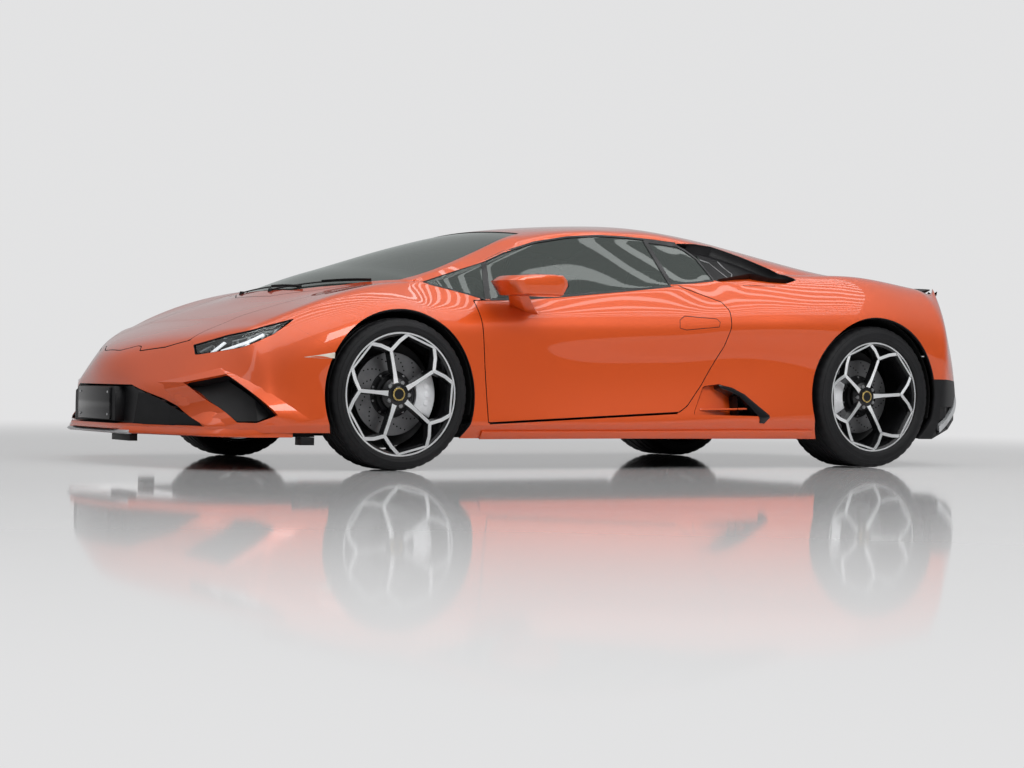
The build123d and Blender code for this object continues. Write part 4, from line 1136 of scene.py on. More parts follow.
class Shell:
    """Gathers vertices, faces and material slots of one piece before it becomes a mesh."""

    def __init__(self) -> None:
        """Start empty."""
        self.points: list[Point3] = []
        self.faces: list[tuple[int, ...]] = []
        self.slots: list[int] = []

    def add(self, points: Sequence[Sequence[float]], faces: Sequence[Sequence[int]], slot: int = 0) -> None:
        """Add loose geometry.

        Args:
            points: Its points, millimetres.
            faces: Its faces, counted from its own first point.
            slot: Its material slot.
        """
        base = len(self.points)
        self.points.extend(tuple(float(v) for v in p) for p in points)
        self.faces.extend(tuple(base + i for i in f) for f in faces)
        self.slots.extend([slot] * len(faces))

    def loft(
            self, rings: Sequence[Sequence[Sequence[float]]], slot: int = 0, closed: bool = True,
            caps: bool = True, around: bool = False) -> None:
        """Join rings of equal length with quads.

        Args:
            rings: The rings, each a list of points.
            slot: The material slot.
            closed: Whether each ring closes on itself.
            caps: Whether the first and last ring are filled.
            around: Whether the last ring joins the first.
        """
        width = len(rings[0])
        points = [p for ring in rings for p in ring]
        faces = []
        last = len(rings) if around else len(rings) - 1
        for k in range(last):
            for j in range(width if closed else width - 1):
                a, b = k * width + j, k * width + (j + 1) % width
                c, d = ((k + 1) % len(rings)) * width + (j + 1) % width, ((k + 1) % len(rings)) * width + j
                faces.append((a, b, c, d))
        if caps and closed and not around:
            faces.append(tuple(range(width))[::-1])
            faces.append(tuple(range((len(rings) - 1) * width, len(rings) * width)))
        self.add(points, faces, slot)

    def lathe(self, profile: Line, segments: int, slot: int = 0,
              ripple: Callable[[int, int, float], float] | None = None) -> None:
        """Turn a profile of (radius, y) about the Y axis.

        Args:
            profile: The profile's points.
            segments: How many steps round.
            slot: The material slot.
            ripple: Gives the radius from step, profile row and radius.
        """
        rings = [[spot(ripple(k, row, radius) if ripple else radius, y, 360.0 * k / segments)
                  for row, (radius, y) in enumerate(profile)] for k in range(segments)]
        self.loft(rings, slot, closed=False, caps=False, around=True)

    def prism(self, outline: Line, axis: int, low: float, high: float, slot: int = 0,
              taper: float = 1.0) -> None:
        """Extrude an outline along an axis, with the far end scaled about its middle.

        Args:
            outline: Points in the plane across the axis.
            axis: 0, 1 or 2.
            low: Start of the extrusion.
            high: End of the extrusion.
            slot: The material slot.
            taper: Scale of the far end.
        """
        centre = np.mean(outline, axis=0)
        rings = []
        for level, scale in ((low, 1.0), (high, taper)):
            ring = []
            for point in outline:
                u, v = centre + (np.array(point) - centre) * scale
                ring.append({0: (level, u, v), 1: (u, level, v), 2: (u, v, level)}[axis])
            rings.append(ring)
        self.loft(rings, slot)

    def box(self, low: Point3, high: Point3, slot: int = 0) -> None:
        """A block between two corners.

        Args:
            low: The lowest corner.
            high: The highest corner.
            slot: The material slot.
        """
        self.prism(
            [(low[0], low[1]), (high[0], low[1]), (high[0], high[1]), (low[0], high[1])], 2, low[2], high[2],
            slot)

    def rod(self, start: Point3, end: Point3, radius: float, slot: int = 0, sides: int = 12,
            end_radius: float | None = None) -> None:
        """A round bar between two points.

        Args:
            start: One end.
            end: The other end.
            radius: Its radius.
            slot: The material slot.
            sides: Steps round it.
            end_radius: The radius at the other end, where that differs.
        """
        a, b = np.array(start, float), np.array(end, float)
        along = (b - a) / np.linalg.norm(b - a)
        across = np.cross(along, (0, 0, 1) if abs(along[2]) < 0.9 else (1, 0, 0))
        across /= np.linalg.norm(across)
        third = np.cross(along, across)
        self.loft([circle(place, across, third, r, sides)
                   for place, r in ((a, radius), (b, radius if end_radius is None else end_radius))], slot)

    def join(
            self, other: "Shell", place: Callable[[Point3], Sequence[float]] = lambda point: point,
            slot: int = 0, flip: bool = False) -> None:
        """Add another shell.

        Args:
            other: The other shell.
            place: Gives each of its points its place.
            slot: Added to its material slots.
            flip: Whether its faces are turned over.
        """
        self.add([place(p) for p in other.points], [f[::-1] if flip else f for f in other.faces])
        self.slots[-len(other.faces):] = [one + slot for one in other.slots]

    def mirrored(self) -> "Shell":
        """The shell and its mirror image about the middle plane.

        Returns:
            This shell.
        """
        count = len(self.points)
        self.points.extend([(x, -y, z) for x, y, z in self.points])
        self.faces.extend([tuple(i + count for i in f[::-1]) for f in self.faces])
        self.slots.extend(self.slots[:])
        return self

    def moved(self, shift: Point3, flip: bool = False) -> "Shell":
        """The shell moved, and turned to the other side first where asked.

        Args:
            shift: How far, in millimetres.
            flip: Whether it goes to the other side.

        Returns:
            This shell.
        """
        if flip:
            self.points = [(x, -y, z) for x, y, z in self.points]
            self.faces = [f[::-1] for f in self.faces]
        self.points = [tuple(p + s for p, s in zip(point, shift)) for point in self.points]
        return self

    def build(self, name: str, looks: Sequence[Look], bevel: float = 0.0, smooth: float = 35.0) -> Piece:
        """Make the object.

        Args:
            name: The piece's name.
            looks: Its finishes.
            bevel: Width of rounded edges, millimetres.
            smooth: Edges sharper than this angle stay sharp.

        Returns:
            The object.
        """
        mesh = bpy.data.meshes.new(name)
        mesh.from_pydata([tuple(v * MM for v in p) for p in self.points], [], self.faces)
        mesh.polygons.foreach_set("material_index", self.slots)
        piece = new_piece(mesh, [look.material for look in looks])
        if bevel:
            modifier = piece.modifiers.new("bevel", "BEVEL")
            modifier.width, modifier.segments = bevel * MM, 2
            modifier.limit_method, modifier.angle_limit = "ANGLE", math.radians(35)
            graph = bpy.context.evaluated_depsgraph_get()
            piece.data = bpy.data.meshes.new_from_object(piece.evaluated_get(graph))
            piece.modifiers.clear()
            bpy.data.meshes.remove(mesh)
        mesh = piece.data
        mesh.polygons.foreach_set("use_smooth", np.ones(len(mesh.polygons), bool))
        mesh.set_sharp_from_angle(angle=math.radians(smooth))
        mesh.update()
        return piece


# --- wheels
class Axle(Enum):
    """Which axle a wheel is on."""

    FRONT = "f"
    REAR = "r"


@dataclass
class RoadWheel:
    """A forged five-spoke wheel, its tyre and its brake."""

    axle: Axle
    sign: int
    axle_x: float
    track: float
    radius: float
    width: float
    dish: float
    first_spoke: float
    bead: float = 254.0
    lip: float = 14.0
    spoke_depth: float = 34.0
    node: float = 0.735
    spread: float = 20.5
    face_width: float = 15.5
    root_width: float = 27.0
    hub_radius: float = 72.0
    disc_radius: float = 180.0
    disc_inset: float = 80.0

    def __post_init__(self) -> None:
        """Work out the planes from the wheel's middle, and the wheel's place and name."""
        self.lip_y = self.width / 2 - 14
        self.hub_y = self.lip_y - self.dish
        self.disc_y = self.hub_y - self.disc_inset
        self.centre = (self.axle_x, self.sign * self.track / 2, self.radius)
        self.end = self.axle.value + ("l" if self.sign < 0 else "r")

    def fit(
            self, shell: Shell, name: str, slot: str, node: str, looks: Sequence[Look],
            smooth: float) -> None:
        """Move a turning piece from the wheel's middle to its place, build and dress it.

        Args:
            shell: The piece.
            name: Its name without the wheel's.
            slot: The record's material slot.
            node: The solid that it stands for, without the wheel's name.
            looks: Its finishes.
            smooth: Edges sharper than this angle stay sharp.
        """
        piece = shell.moved(self.centre, self.sign < 0).build(f"{name}_{self.end}", looks, smooth=smooth)
        dress(piece, f"wheel_{self.end}", slot, f"{node}_{self.end}")

    def tyre(self) -> None:
        """The tyre: sidewalls with rings and a grooved tread."""
        half, top, bead = self.width / 2, self.radius, self.bead + self.lip + 0.4
        outer = [
            (bead, half - 16), (bead + 3, half - 7), (bead + 10, half - 2.5), (bead + 14, half - 2.5),
            (bead + 17, half - 0.6), (bead + 22, half), (bead + 23, half - 1.2), (top - 36, half - 1.6),
            (top - 35, half - 0.6), (top - 26, half - 3.0), (top - 20, half - 5.6), (top - 19, half - 8.2),
            (top - 10, half - 13), (top - 4, half - 20), (top - 1.2, half - 29)]
        grooves = []
        for groove in (0.56, 0.2):
            y = half * groove
            grooves += [(top - 0.4, y + 7), (top - 7, y + 5), (top - 7, y - 5), (top - 0.2, y - 7)]
        inner = [(r, -y) for r, y in reversed(outer)]
        profile = outer + grooves + [(r, -y) for r, y in reversed(grooves)] + inner
        edge = len(outer)

        def blocks(step: int, row: int, radius: float) -> float:
            """Cross grooves between the tread blocks."""
            shoulder = edge - 3 <= row < edge + 1 or len(profile) - edge - 1 <= row < len(profile) - edge + 3
            return radius - 3.0 if shoulder and step % 4 == 0 else radius

        shell = Shell()
        shell.lathe(profile, 176, ripple=blocks)
        self.fit(shell, "tyre_tread", "tyre", "tyre", [Look.RUBBER], 28)

    def beam(self, shell: Shell, path: Sequence[Point3], widths: Sequence[float],
             depths: Sequence[float]) -> None:
        """A spoke's arm: a bright machined face on dark flanks.

        Args:
            shell: Where it goes.
            path: (radius, degrees, y) along the face.
            widths: Face width at each point.
            depths: Depth at each point.
        """
        places = [np.array(spot(r, y, a)) for r, a, y in path]
        tops, flanks = [], []
        for k, place in enumerate(places):
            ahead = places[min(k + 1, len(places) - 1)] - places[max(k - 1, 0)]
            side = np.cross(ahead, (0, 1, 0))
            side /= np.linalg.norm(side)
            face, root, depth = widths[k] / 2, self.root_width / 2, depths[k]
            tops.append([place - side * face, place + side * face])
            down = np.array((0, -1.0, 0))
            flanks.append([
                place + side * face, place + side * (face + 2.2) + down * 2.5,
                place + side * root + down * depth, place - side * root + down * depth,
                place - side * (face + 2.2) + down * 2.5, place - side * face])
        shell.loft(tops, 1, closed=False, caps=False)
        shell.loft(flanks, 0, closed=False, caps=False)
        for ring in (flanks[0], flanks[-1]):
            shell.add(ring, [tuple(range(6))], 0)

    def rim(self) -> None:
        """The rim, spokes, hub and cap."""
        shell = Shell()
        lip, hub, face = self.lip_y, self.hub_y, self.bead + self.lip
        shell.lathe([(face, lip - 13), (face, lip - 1.5), (face - 1.5, lip)], 120, 0)
        shell.lathe([(face - 1.5, lip), (face - 8.5, lip)], 120, 1)
        shell.lathe([(face - 8.5, lip), (face - 11, lip - 2), (face - 19, lip - 8), (face - 24, lip - 40),
                     (face - 25, -self.width / 2 + 30), (face - 16, -self.width / 2 + 16),
                     (face - 14, -self.width / 2 + 16)], 120, 0)
        node_r, reach = face * self.node, face - 9
        node_y = hub + (lip - hub) * 0.62
        mid_y = hub + (lip - hub) * 0.22
        arm_depth = self.spoke_depth
        for k in range(5):
            angle = self.first_spoke + 72 * k
            self.beam(
                shell, [
                    (44, angle, hub - 1), (90, angle, mid_y + 1), (140, angle, (mid_y + node_y) / 2 + 1),
                    (node_r + 3, angle, node_y)], (24, 17, 15, 16), (30, arm_depth, arm_depth, arm_depth))
            for turn in (-1, 1):
                end = angle + turn * self.spread
                self.beam(
                    shell, [
                        (node_r - 4, angle, node_y),
                        ((node_r + reach) / 2 + 1, angle + turn * self.spread * 0.57, (node_y + lip) / 2 + 2),
                        (reach, end, lip - 0.5)], (self.face_width, self.face_width, self.face_width),
                    (arm_depth, 30, 24))
            ends = (angle + self.spread - 1.4, angle + 72 - self.spread + 1.4)
            self.beam(
                shell, [(reach - 1, ends[0], lip - 0.4), (reach - 1, ends[1], lip - 0.4)], (9, 9), (16, 16))
        shell.lathe([(20, hub + 1), (self.hub_radius - 26, hub + 1), (self.hub_radius - 12, hub - 4),
                     (self.hub_radius, hub - 14), (self.hub_radius, hub - 36)], 60, 0)
        for k in range(5):
            bolt = Shell()
            bolt.lathe([(0.1, 4), (4, 4), (4.5, 1), (5.5, 4), (8.2, 4), (9.2, 2), (9.2, -8)], 18)
            bolt.moved(spot(52, hub - 3, self.first_spoke + 36 + 72 * k))
            shell.join(bolt, slot=2)
        shell.lathe([(0.1, hub + 7), (21, hub + 7), (22, hub + 6)], 48, 3)
        shell.lathe([(22, hub + 6), (23, hub + 8), (27.5, hub + 8), (29, hub + 6)], 48, 4)
        shell.lathe([(29, hub + 6), (32.5, hub + 5), (33.5, hub + 2), (33.5, hub - 2)], 48, 3)
        self.fit(shell, "wheel_rim", "rim", "rim",
                 [Look.RIM_BLACK, Look.MACHINED, Look.STEEL, Look.GLOSS_BLACK, Look.GOLD], 32)

    def disc(self) -> None:
        """The drilled brake disc with its bell."""
        shell = Shell()
        middle = self.disc_y
        outer, inner = middle + 15, middle - 15
        radius = self.disc_radius
        shell.lathe([(104, outer), (radius - 1, outer), (radius, outer - 1), (radius, middle + 5)], 96, 0)
        # The vent gap between the faces is a black ring 14 mm in: painted shade in the gap.
        shell.lathe([
            (radius, middle + 5), (radius - 14, middle + 5), (radius - 14, middle - 5), (radius, middle - 5)],
            96, 1)
        shell.lathe(
            [(radius, middle - 5), (radius, inner + 1), (radius - 1, inner), (104, inner), (104, outer)], 96,
            0)
        shell.lathe([
            (106, outer - 3), (96, outer - 2), (88, outer + 6), (86, self.hub_y - 37),
            (62, self.hub_y - 36.4), (34, self.hub_y - 36.4)], 72, 1)
        # The holes are not cut: black liner caps on the face are painted shade that stands in for the holes.
        for k in range(60):
            hole = Shell()
            hole.lathe([(0.1, 0.35), (3.6, 0.35), (4.0, -0.5)], 8)
            hole.moved(spot(118 + (k % 5) * 12.5, outer, k * 6))
            shell.join(hole, slot=2)
        for k in range(10):
            shell.rod(*(spot(95, outer + out, 18 + 36 * k) for out in (-2, 4)), 5, 3, 8)
        self.fit(shell, "brake_disc", "steel", "disc", [Look.DISC, Look.BLACK, Look.LINER, Look.STEEL], 30)

    def shield(self) -> None:
        """The pressed shield inboard of the disc."""
        back = self.disc_y - 61
        shell = Shell()
        shell.lathe([(60, back), (150, back), (160, back - 4), (229, back - 4), (235, back), (234, back + 2),
                     (228, back - 2), (160, back - 2), (150, back + 2), (60, back + 2), (60, back)], 72, 0)
        body = f"knuckle_{self.end}" if self.axle is Axle.FRONT else "body"
        piece = shell.moved(self.centre, self.sign < 0).build(f"brake_shield_{self.end}", [Look.BLACK])
        dress(piece, body)

    def caliper(self) -> Shell:
        """The caliper, in place: ahead of the rear wheel's middle, behind the front one's.

        Returns:
            Its shell.
        """
        middle = self.disc_y
        base = 0 if self.axle is Axle.FRONT else 180
        shell = Shell()

        def arc(r0: float, r1: float, y0: float, y1: float, spread: float, shift: float = 0.0) -> None:
            """A block that follows the disc.

            Args:
                r0: Inner radius.
                r1: Outer radius.
                y0: Inboard face.
                y1: Outboard face.
                spread: Degrees to each side of its middle.
                shift: Degrees its middle is turned.
            """
            rings = []
            for t in np.linspace(-spread, spread, 15):
                pinch = 4 * (abs(t) / spread) ** 3
                rings.append([spot(r, y, base + shift + t) for r, y in (
                    (r0, y0), (r0, y1 - pinch), (r0 + 6, y1), (r1 - 8, y1), (r1, y1 - 5), (r1, y0))])
            shell.loft(rings)

        arc(112, 204, middle + 20, middle + 36, 30)
        arc(112, 204, middle - 47, middle - 20, 30)
        for shift in (-22, 0, 22):
            arc(188, 203, middle - 20, middle + 20, 3.4, shift)
        for shift in (-13, 0, 13):
            shell.rod(*(spot(163, middle + out, base + shift) for out in (34, 38)), 15, 0, 20, 13)
        return shell.moved(self.centre, self.sign < 0)

    def build(self) -> None:
        """Make and dress the wheel, its disc and its shield."""
        self.tyre()
        self.rim()
        self.disc()
        self.shield()


def build_wheels() -> None:
    """Make and dress the four wheels with their brakes."""
    fronts = [RoadWheel(Axle.FRONT, sign, -1210.0, 1668.0, 327.5, 245.0, 25.0, 104.0) for sign, _ in SIDES]
    for wheel in fronts:
        wheel.build()
    for wheel, (_, end) in zip(fronts, SIDES):
        piece = wheel.caliper().build(f"caliper_body_f{end}", [Look.CALIPER], 2.0)
        dress(piece, f"knuckle_f{end}", "caliper_silver", f"caliper_f{end}")
    both = Shell()
    for sign, _ in SIDES:
        wheel = RoadWheel(Axle.REAR, sign, 1410.0, 1620.0, 345.5, 300.0, 60.0, 76.0)
        wheel.build()
        both.join(wheel.caliper())
    dress(both.build("rear_caliper_bodies", [Look.CALIPER], 2.0), "body", "caliper_silver", "rear_calipers")


# --- reading the form
class View(Enum):
    """A side from which lines are cast at the form: its two coordinates, the lines' start and their way."""

    SIDE = ((0, 2), -2000.0, (0, 1, 0))
    FRONT = ((1, 2), -4000.0, (1, 0, 0))
    BACK = ((1, 2), 4000.0, (-1, 0, 0))
    TOP = ((0, 1), 3000.0, (0, 0, -1))


class Surface:
    """The body's form, and the points on it that cast lines meet."""

    def __init__(self, form: Skin) -> None:
        """Build the search tree.

        Args:
            form: The whole skin.
        """
        self.form = form
        self.tree = BVHTree.FromPolygons(form.places.tolist(), form.faces.tolist())

    def cast(self, view: View, first: float, second: float) -> tuple[Vector, Vector]:
        """The first point that a line meets, and its normal.

        Args:
            view: Where the line comes from.
            first: The view's first coordinate.
            second: Its second coordinate.

        Returns:
            The point and the outward normal; the line's start where nothing is met.
        """
        axes, distance, ahead = view.value
        start = Vector([distance] * 3)
        start[axes[0]], start[axes[1]] = first, second
        ahead = Vector(ahead)
        place, normal, _, _ = self.tree.ray_cast(start, ahead)
        if place is None:
            return start, -ahead
        return place, normal if normal.dot(ahead) < 0 else -normal

    def at(self, view: View, first: float, second: float, inward: float = 0.0) -> Vector:
        """A point on the form, pushed in along the normal.

        Args:
            view: Where it is seen from.
            first: The view's first coordinate.
            second: Its second coordinate.
            inward: How far it is pushed in.

        Returns:
            The point.
        """
        place, normal = self.cast(view, first, second)
        return place - normal * inward

    def side(self, x: float, z: float, inward: float = 0.0) -> Point3:
        """The left side's point at x and z, pushed in along the normal."""
        return tuple(self.at(View.SIDE, x, z, inward))

    def ribbon(self, shell: Shell, path: Line, width: float, proud: float, sink: float, slot: int = 0,
               view: View = View.SIDE, steps: int = 6) -> None:
        """Lay a low strip along a path on the form.

        Args:
            shell: Where it goes.
            path: Points in the view's own two coordinates.
            width: The strip's width.
            proud: How far its face stands out; negative for below the skin.
            sink: How far below its face its back lies.
            slot: The material slot.
            view: Where it is seen from.
            steps: Points between two of the path's.
        """
        fine = []
        for a, b in zip(path, path[1:]):
            for t in range(steps):
                fine.append(np.array(a) + (np.array(b) - np.array(a)) * t / steps)
        fine.append(np.array(path[-1]))
        rings = []
        for k, point in enumerate(fine):
            ahead = fine[min(k + 1, len(fine) - 1)] - fine[max(k - 1, 0)]
            ahead = ahead / (np.linalg.norm(ahead) or 1.0)
            across = np.array((-ahead[1], ahead[0])) * width / 2
            ring = []
            for sign, inward in ((1, -proud), (-1, -proud), (-1, sink - proud), (1, sink - proud)):
                u, v = point + across * sign
                ring.append(tuple(self.at(view, u, v, inward)))
            rings.append(ring)
        shell.loft(rings, slot)


@dataclass
class Trim:
    """Details that lie on the body's form."""

    surface: Surface


# --- lamps
@dataclass
class HeadLamps(Trim):
    """Both front lamps: clear cover, dark bowl, light guides and projector, and the side markers."""

    depth: float = 46.0
    guide: float = 6.5
    upper: Line = ((-1936, 505), (-1828, 560), (-1788, 580))
    lower: Line = ((-1908, 503), (-1878, 514), (-1854, 538))
    joint: Line = ((-1964, 497), (-1916, 543))
    marker: Line = ((-1666, 477), (-1600, 488), (-1534, 500), (-1535, 475), (-1600, 474))

    def build(self) -> None:
        """Make and dress the lamps."""
        area = self.surface.form.keep(lambda p: -1640 - p[:, 0], beyond(430), lambda p: p[:, 2] - 470)
        cover = area.keep(lambda p: LAMP.distance(p) - 3.0)
        dress(cover.moved(1.2).build("lamp_covers", 5, [Look.CLEAR]), "body", "lamp_clear", "headlamps")
        bowl = area.keep(lambda p: LAMP.distance(p) - 1.0).moved(self.depth)
        dress(bowl.build("lamp_bowls", 4.0 - self.depth, [Look.SMOKE]))
        shell = Shell()
        for path, width in (
                (self.upper, self.guide), (self.lower, self.guide * 0.8), (self.joint, self.guide * 0.8)):
            self.surface.ribbon(shell, path, width, -13.0, 7.0, 0)
        for path in (
                ((-1896, 551), (-1800, 588), (-1724, 612)), ((-1950, 534), (-1992, 503)),
                ((-1972, 485), (-1880, 512)), ((-1890, 512), (-1842, 570)), ((-1812, 545), (-1772, 600)),
                ((-1770, 572), (-1738, 606))):
            self.surface.ribbon(shell, path, 5.0, -20.0, 20.0, 1)
        for x, z, radius in ((-1898, 535, 13), (-1800, 568, 10), (-1962, 516, 9)):
            place, _ = self.surface.cast(View.SIDE, x, z)
            self.projector(shell, place, Vector((-0.86, -0.42, 0.28)).normalized(), radius)
        looks = [Look.LIT, Look.SILVER, Look.GLOSS_BLACK, Look.CLEAR]
        dress(shell.mirrored().build("lamp_guides", looks), "body", "lamp_clear")
        marks = Shell()
        marks.loft([[self.surface.side(x, z, depth) for x, z in self.marker] for depth in (-1.6, 8.0)])
        dress(marks.mirrored().build("side_markers", [Look.MARKER], 0.6), "body", "lamp_clear")

    def projector(self, shell: Shell, place: Vector, aim: Vector, radius: float) -> None:
        """A round lens in a bright ring.

        Args:
            shell: Where it goes.
            place: The point on the skin over it.
            aim: Where it looks.
            radius: The lens's radius.
        """
        centre = place - aim * 30.0
        across = aim.orthogonal().normalized()
        third = aim.cross(across)
        rings = []
        for r, out in ((radius + 5, -16), (radius + 5, 3), (radius + 2, 4), (radius, 1), (radius * 0.75, 5),
                       (radius * 0.4, 8), (0.2, 9)):
            rings.append(circle(centre + aim * out, across, third, r, 28))
        shell.loft(rings[:4], 1, caps=False)
        shell.loft(rings[3:], 3, caps=False)


# --- nose details
@dataclass
class NoseTrim(Trim):
    """The splitter, the grille openings' linings, the blades and the blank plate carrier."""

    ridge_outer: Line = ((-2130, 362), (-1955, 426), (-1640, 216), (-1872, 168), (-2045, 172))
    ridge_inner: Line = ((-2068, 358), (-1939, 396), (-1784, 231), (-1872, 197), (-1940, 197))
    duct: float = 120.0
    plate_half: float = 193.0
    plate_z: Point2 = (196.0, 337.0)
    plate_x: float = -2238.0

    def build(self) -> None:
        """Make and dress the nose's details."""
        self.linings()
        self.splitter()
        self.blades()
        self.plate()
        self.mesh_grilles()

    def linings(self) -> None:
        """Black ducts behind the mouth and the side intakes."""
        nose = self.surface.form.keep(lambda p: -1750 - p[:, 0])
        throat = nose.keep(MOUTH.distance, lambda p: -1950 - p[:, 0])
        depth = 14 + 150 * np.clip(MOUTH.distance(throat.places) / 70, 0, 1)
        dress(throat.moved(depth + 2).build("radiator_face", 0.0, [Look.LINER]))
        for name, area in (("mouth_duct", throat.moved(depth)),
                           ("intake_ducts", nose.keep(INTAKE.distance, beyond(520)))):
            dress(area.build(name, self.duct, [Look.BLACK], faced=False))

    def splitter(self) -> None:
        """The lip under the nose: silver in the middle, painted outwards, with small deflectors below."""
        edges = self.surface.form.keep(
            lambda p: -1500 - p[:, 0], lambda p: 176 - p[:, 2], lambda p: p[:, 2] - 150).places[:, :2]
        rings, silver = [], []
        for y in np.linspace(-905, 905, 61):
            near = edges[np.argsort(np.abs(edges[:, 1] - y))[:12], 0]
            x = max(-2234.0, float(near.min()) - 12.0)
            rings.append([
                (x, y, 145.0), (x + 3, y, 156.0), (x + 22, y, 183.0), (x + 90, y, 190.0), (-1700, y, 168.0),
                (-1700, y, 140.5), (x + 14, y, 140.0)])
            if abs(y) < 385:
                reach = 46.0 * (1 - (abs(y) / 385) ** 2) + 10
                silver.append([(x - 8.5, y, 147.0), (x - 2, y, 153.0), (x + reach, y, 156.0 + reach * 0.42),
                               (x + reach, y, 138.6), (x + 4, y, 138.2)])
        shell = Shell()
        shell.loft(rings)
        shell.loft(silver, 1)
        for box in ((-2196, -330, -2160, -120), (-1664, -905, -1600, -850), (-1664, 850, -1600, 905)):
            shell.box((box[0], box[1], 108.0), (box[2], box[3], 141.0), 2)
        dress(shell.build("front_splitter", [Look.PAINT, Look.SILVER, Look.BLACK], 1.5), "body", "grey_trim",
              "splitter")

    def blades(self) -> None:
        """The painted ridge between mouth and intake, and the ladder in each intake."""
        side = self.surface.side
        surround = Shell()
        spots = []
        for k, (out, edge) in enumerate(zip(self.ridge_outer, self.ridge_inner)):
            ahead = (k + 1) % len(self.ridge_outer)
            for t in np.linspace(0, 1, 8, endpoint=False):
                spots.append([np.array(a) * (1 - t) + np.array(b) * t
                              for a, b in ((out, self.ridge_outer[ahead]), (edge, self.ridge_inner[ahead]))])
        surround.loft([[side(*place[which], inward) for place in spots]
                       for which, inward in ((0, 2.0), (0, -0.6), (1, -13.0), (1, 34.0))], caps=False)
        dress(surround.mirrored().build("intake_surrounds", [Look.PAINT], smooth=14), "body", "paint")
        shell = Shell()
        for t in (0.18, 0.36, 0.54, 0.72):
            upper = np.array((-2052, 352)) * (1 - t) + np.array((-1939, 392)) * t
            lower = np.array((-1937, 202)) * (1 - t) + np.array((-1789, 231)) * t
            shell.rod(side(*upper, 52), side(*lower, 52), 5.5, 0, 6)
        for t in (0.33, 0.66):
            left = np.array((-2062, 352)) * (1 - t) + np.array((-1937, 202)) * t
            right = np.array((-1939, 392)) * (1 - t) + np.array((-1789, 231)) * t
            shell.rod(side(*(left + (14, 0)), 50), side(*(right - (14, 0)), 50), 7.0, 1, 6)
        dress(shell.mirrored().build("intake_ladders", [Look.BLACK, Look.GREY]))

    def plate(self) -> None:
        """The blank plate in its black carrier."""
        half, (low, high), x = self.plate_half, self.plate_z, self.plate_x
        shell = Shell()
        shell.prism([
            (-half - 44, low - 4), (half + 44, low - 4), (half + 44, high - 34), (half + 20, high + 3),
            (-half - 20, high + 3), (-half - 44, high - 34)], 0, x + 10, x + 76, 0, 1.0)
        shell.prism([(-half, low), (half, low), (half, high), (-half, high)], 0, x + 10, x + 1, 1, 0.99)
        for y in (-half + 26, half - 26):
            for z in (low + 22, high - 22):
                shell.rod((x + 3, y, z), (x - 1.5, y, z), 6.5, 2, 16, 5.0)
        dress(shell.build("plate_carrier", [Look.BLACK, Look.GLOSS_BLACK, Look.STEEL], 2.0), "body",
              "trim_black", "plate_holder")

    def mesh_grilles(self) -> None:
        """Fine slanted mesh behind the mouth."""
        shell = Shell()
        for k in range(-30, 31):
            y = k * 26.0
            for lean in (-1, 1):
                a, b = (y - lean * 50, 182.0), (y + lean * 50, 330.0)
                limit = lambda z: 780 - (z - 168) * 2.37
                if abs(a[0]) > limit(a[1]) or abs(b[0]) > limit(b[1]):
                    continue
                start, end = (self.surface.at(View.FRONT, *place, inward=120) for place in (a, b))
                shell.rod(tuple(start), tuple(end), 2.6, 0, 5)
        dress(shell.build("mouth_mesh", [Look.BLACK]), "body", "grille_black")


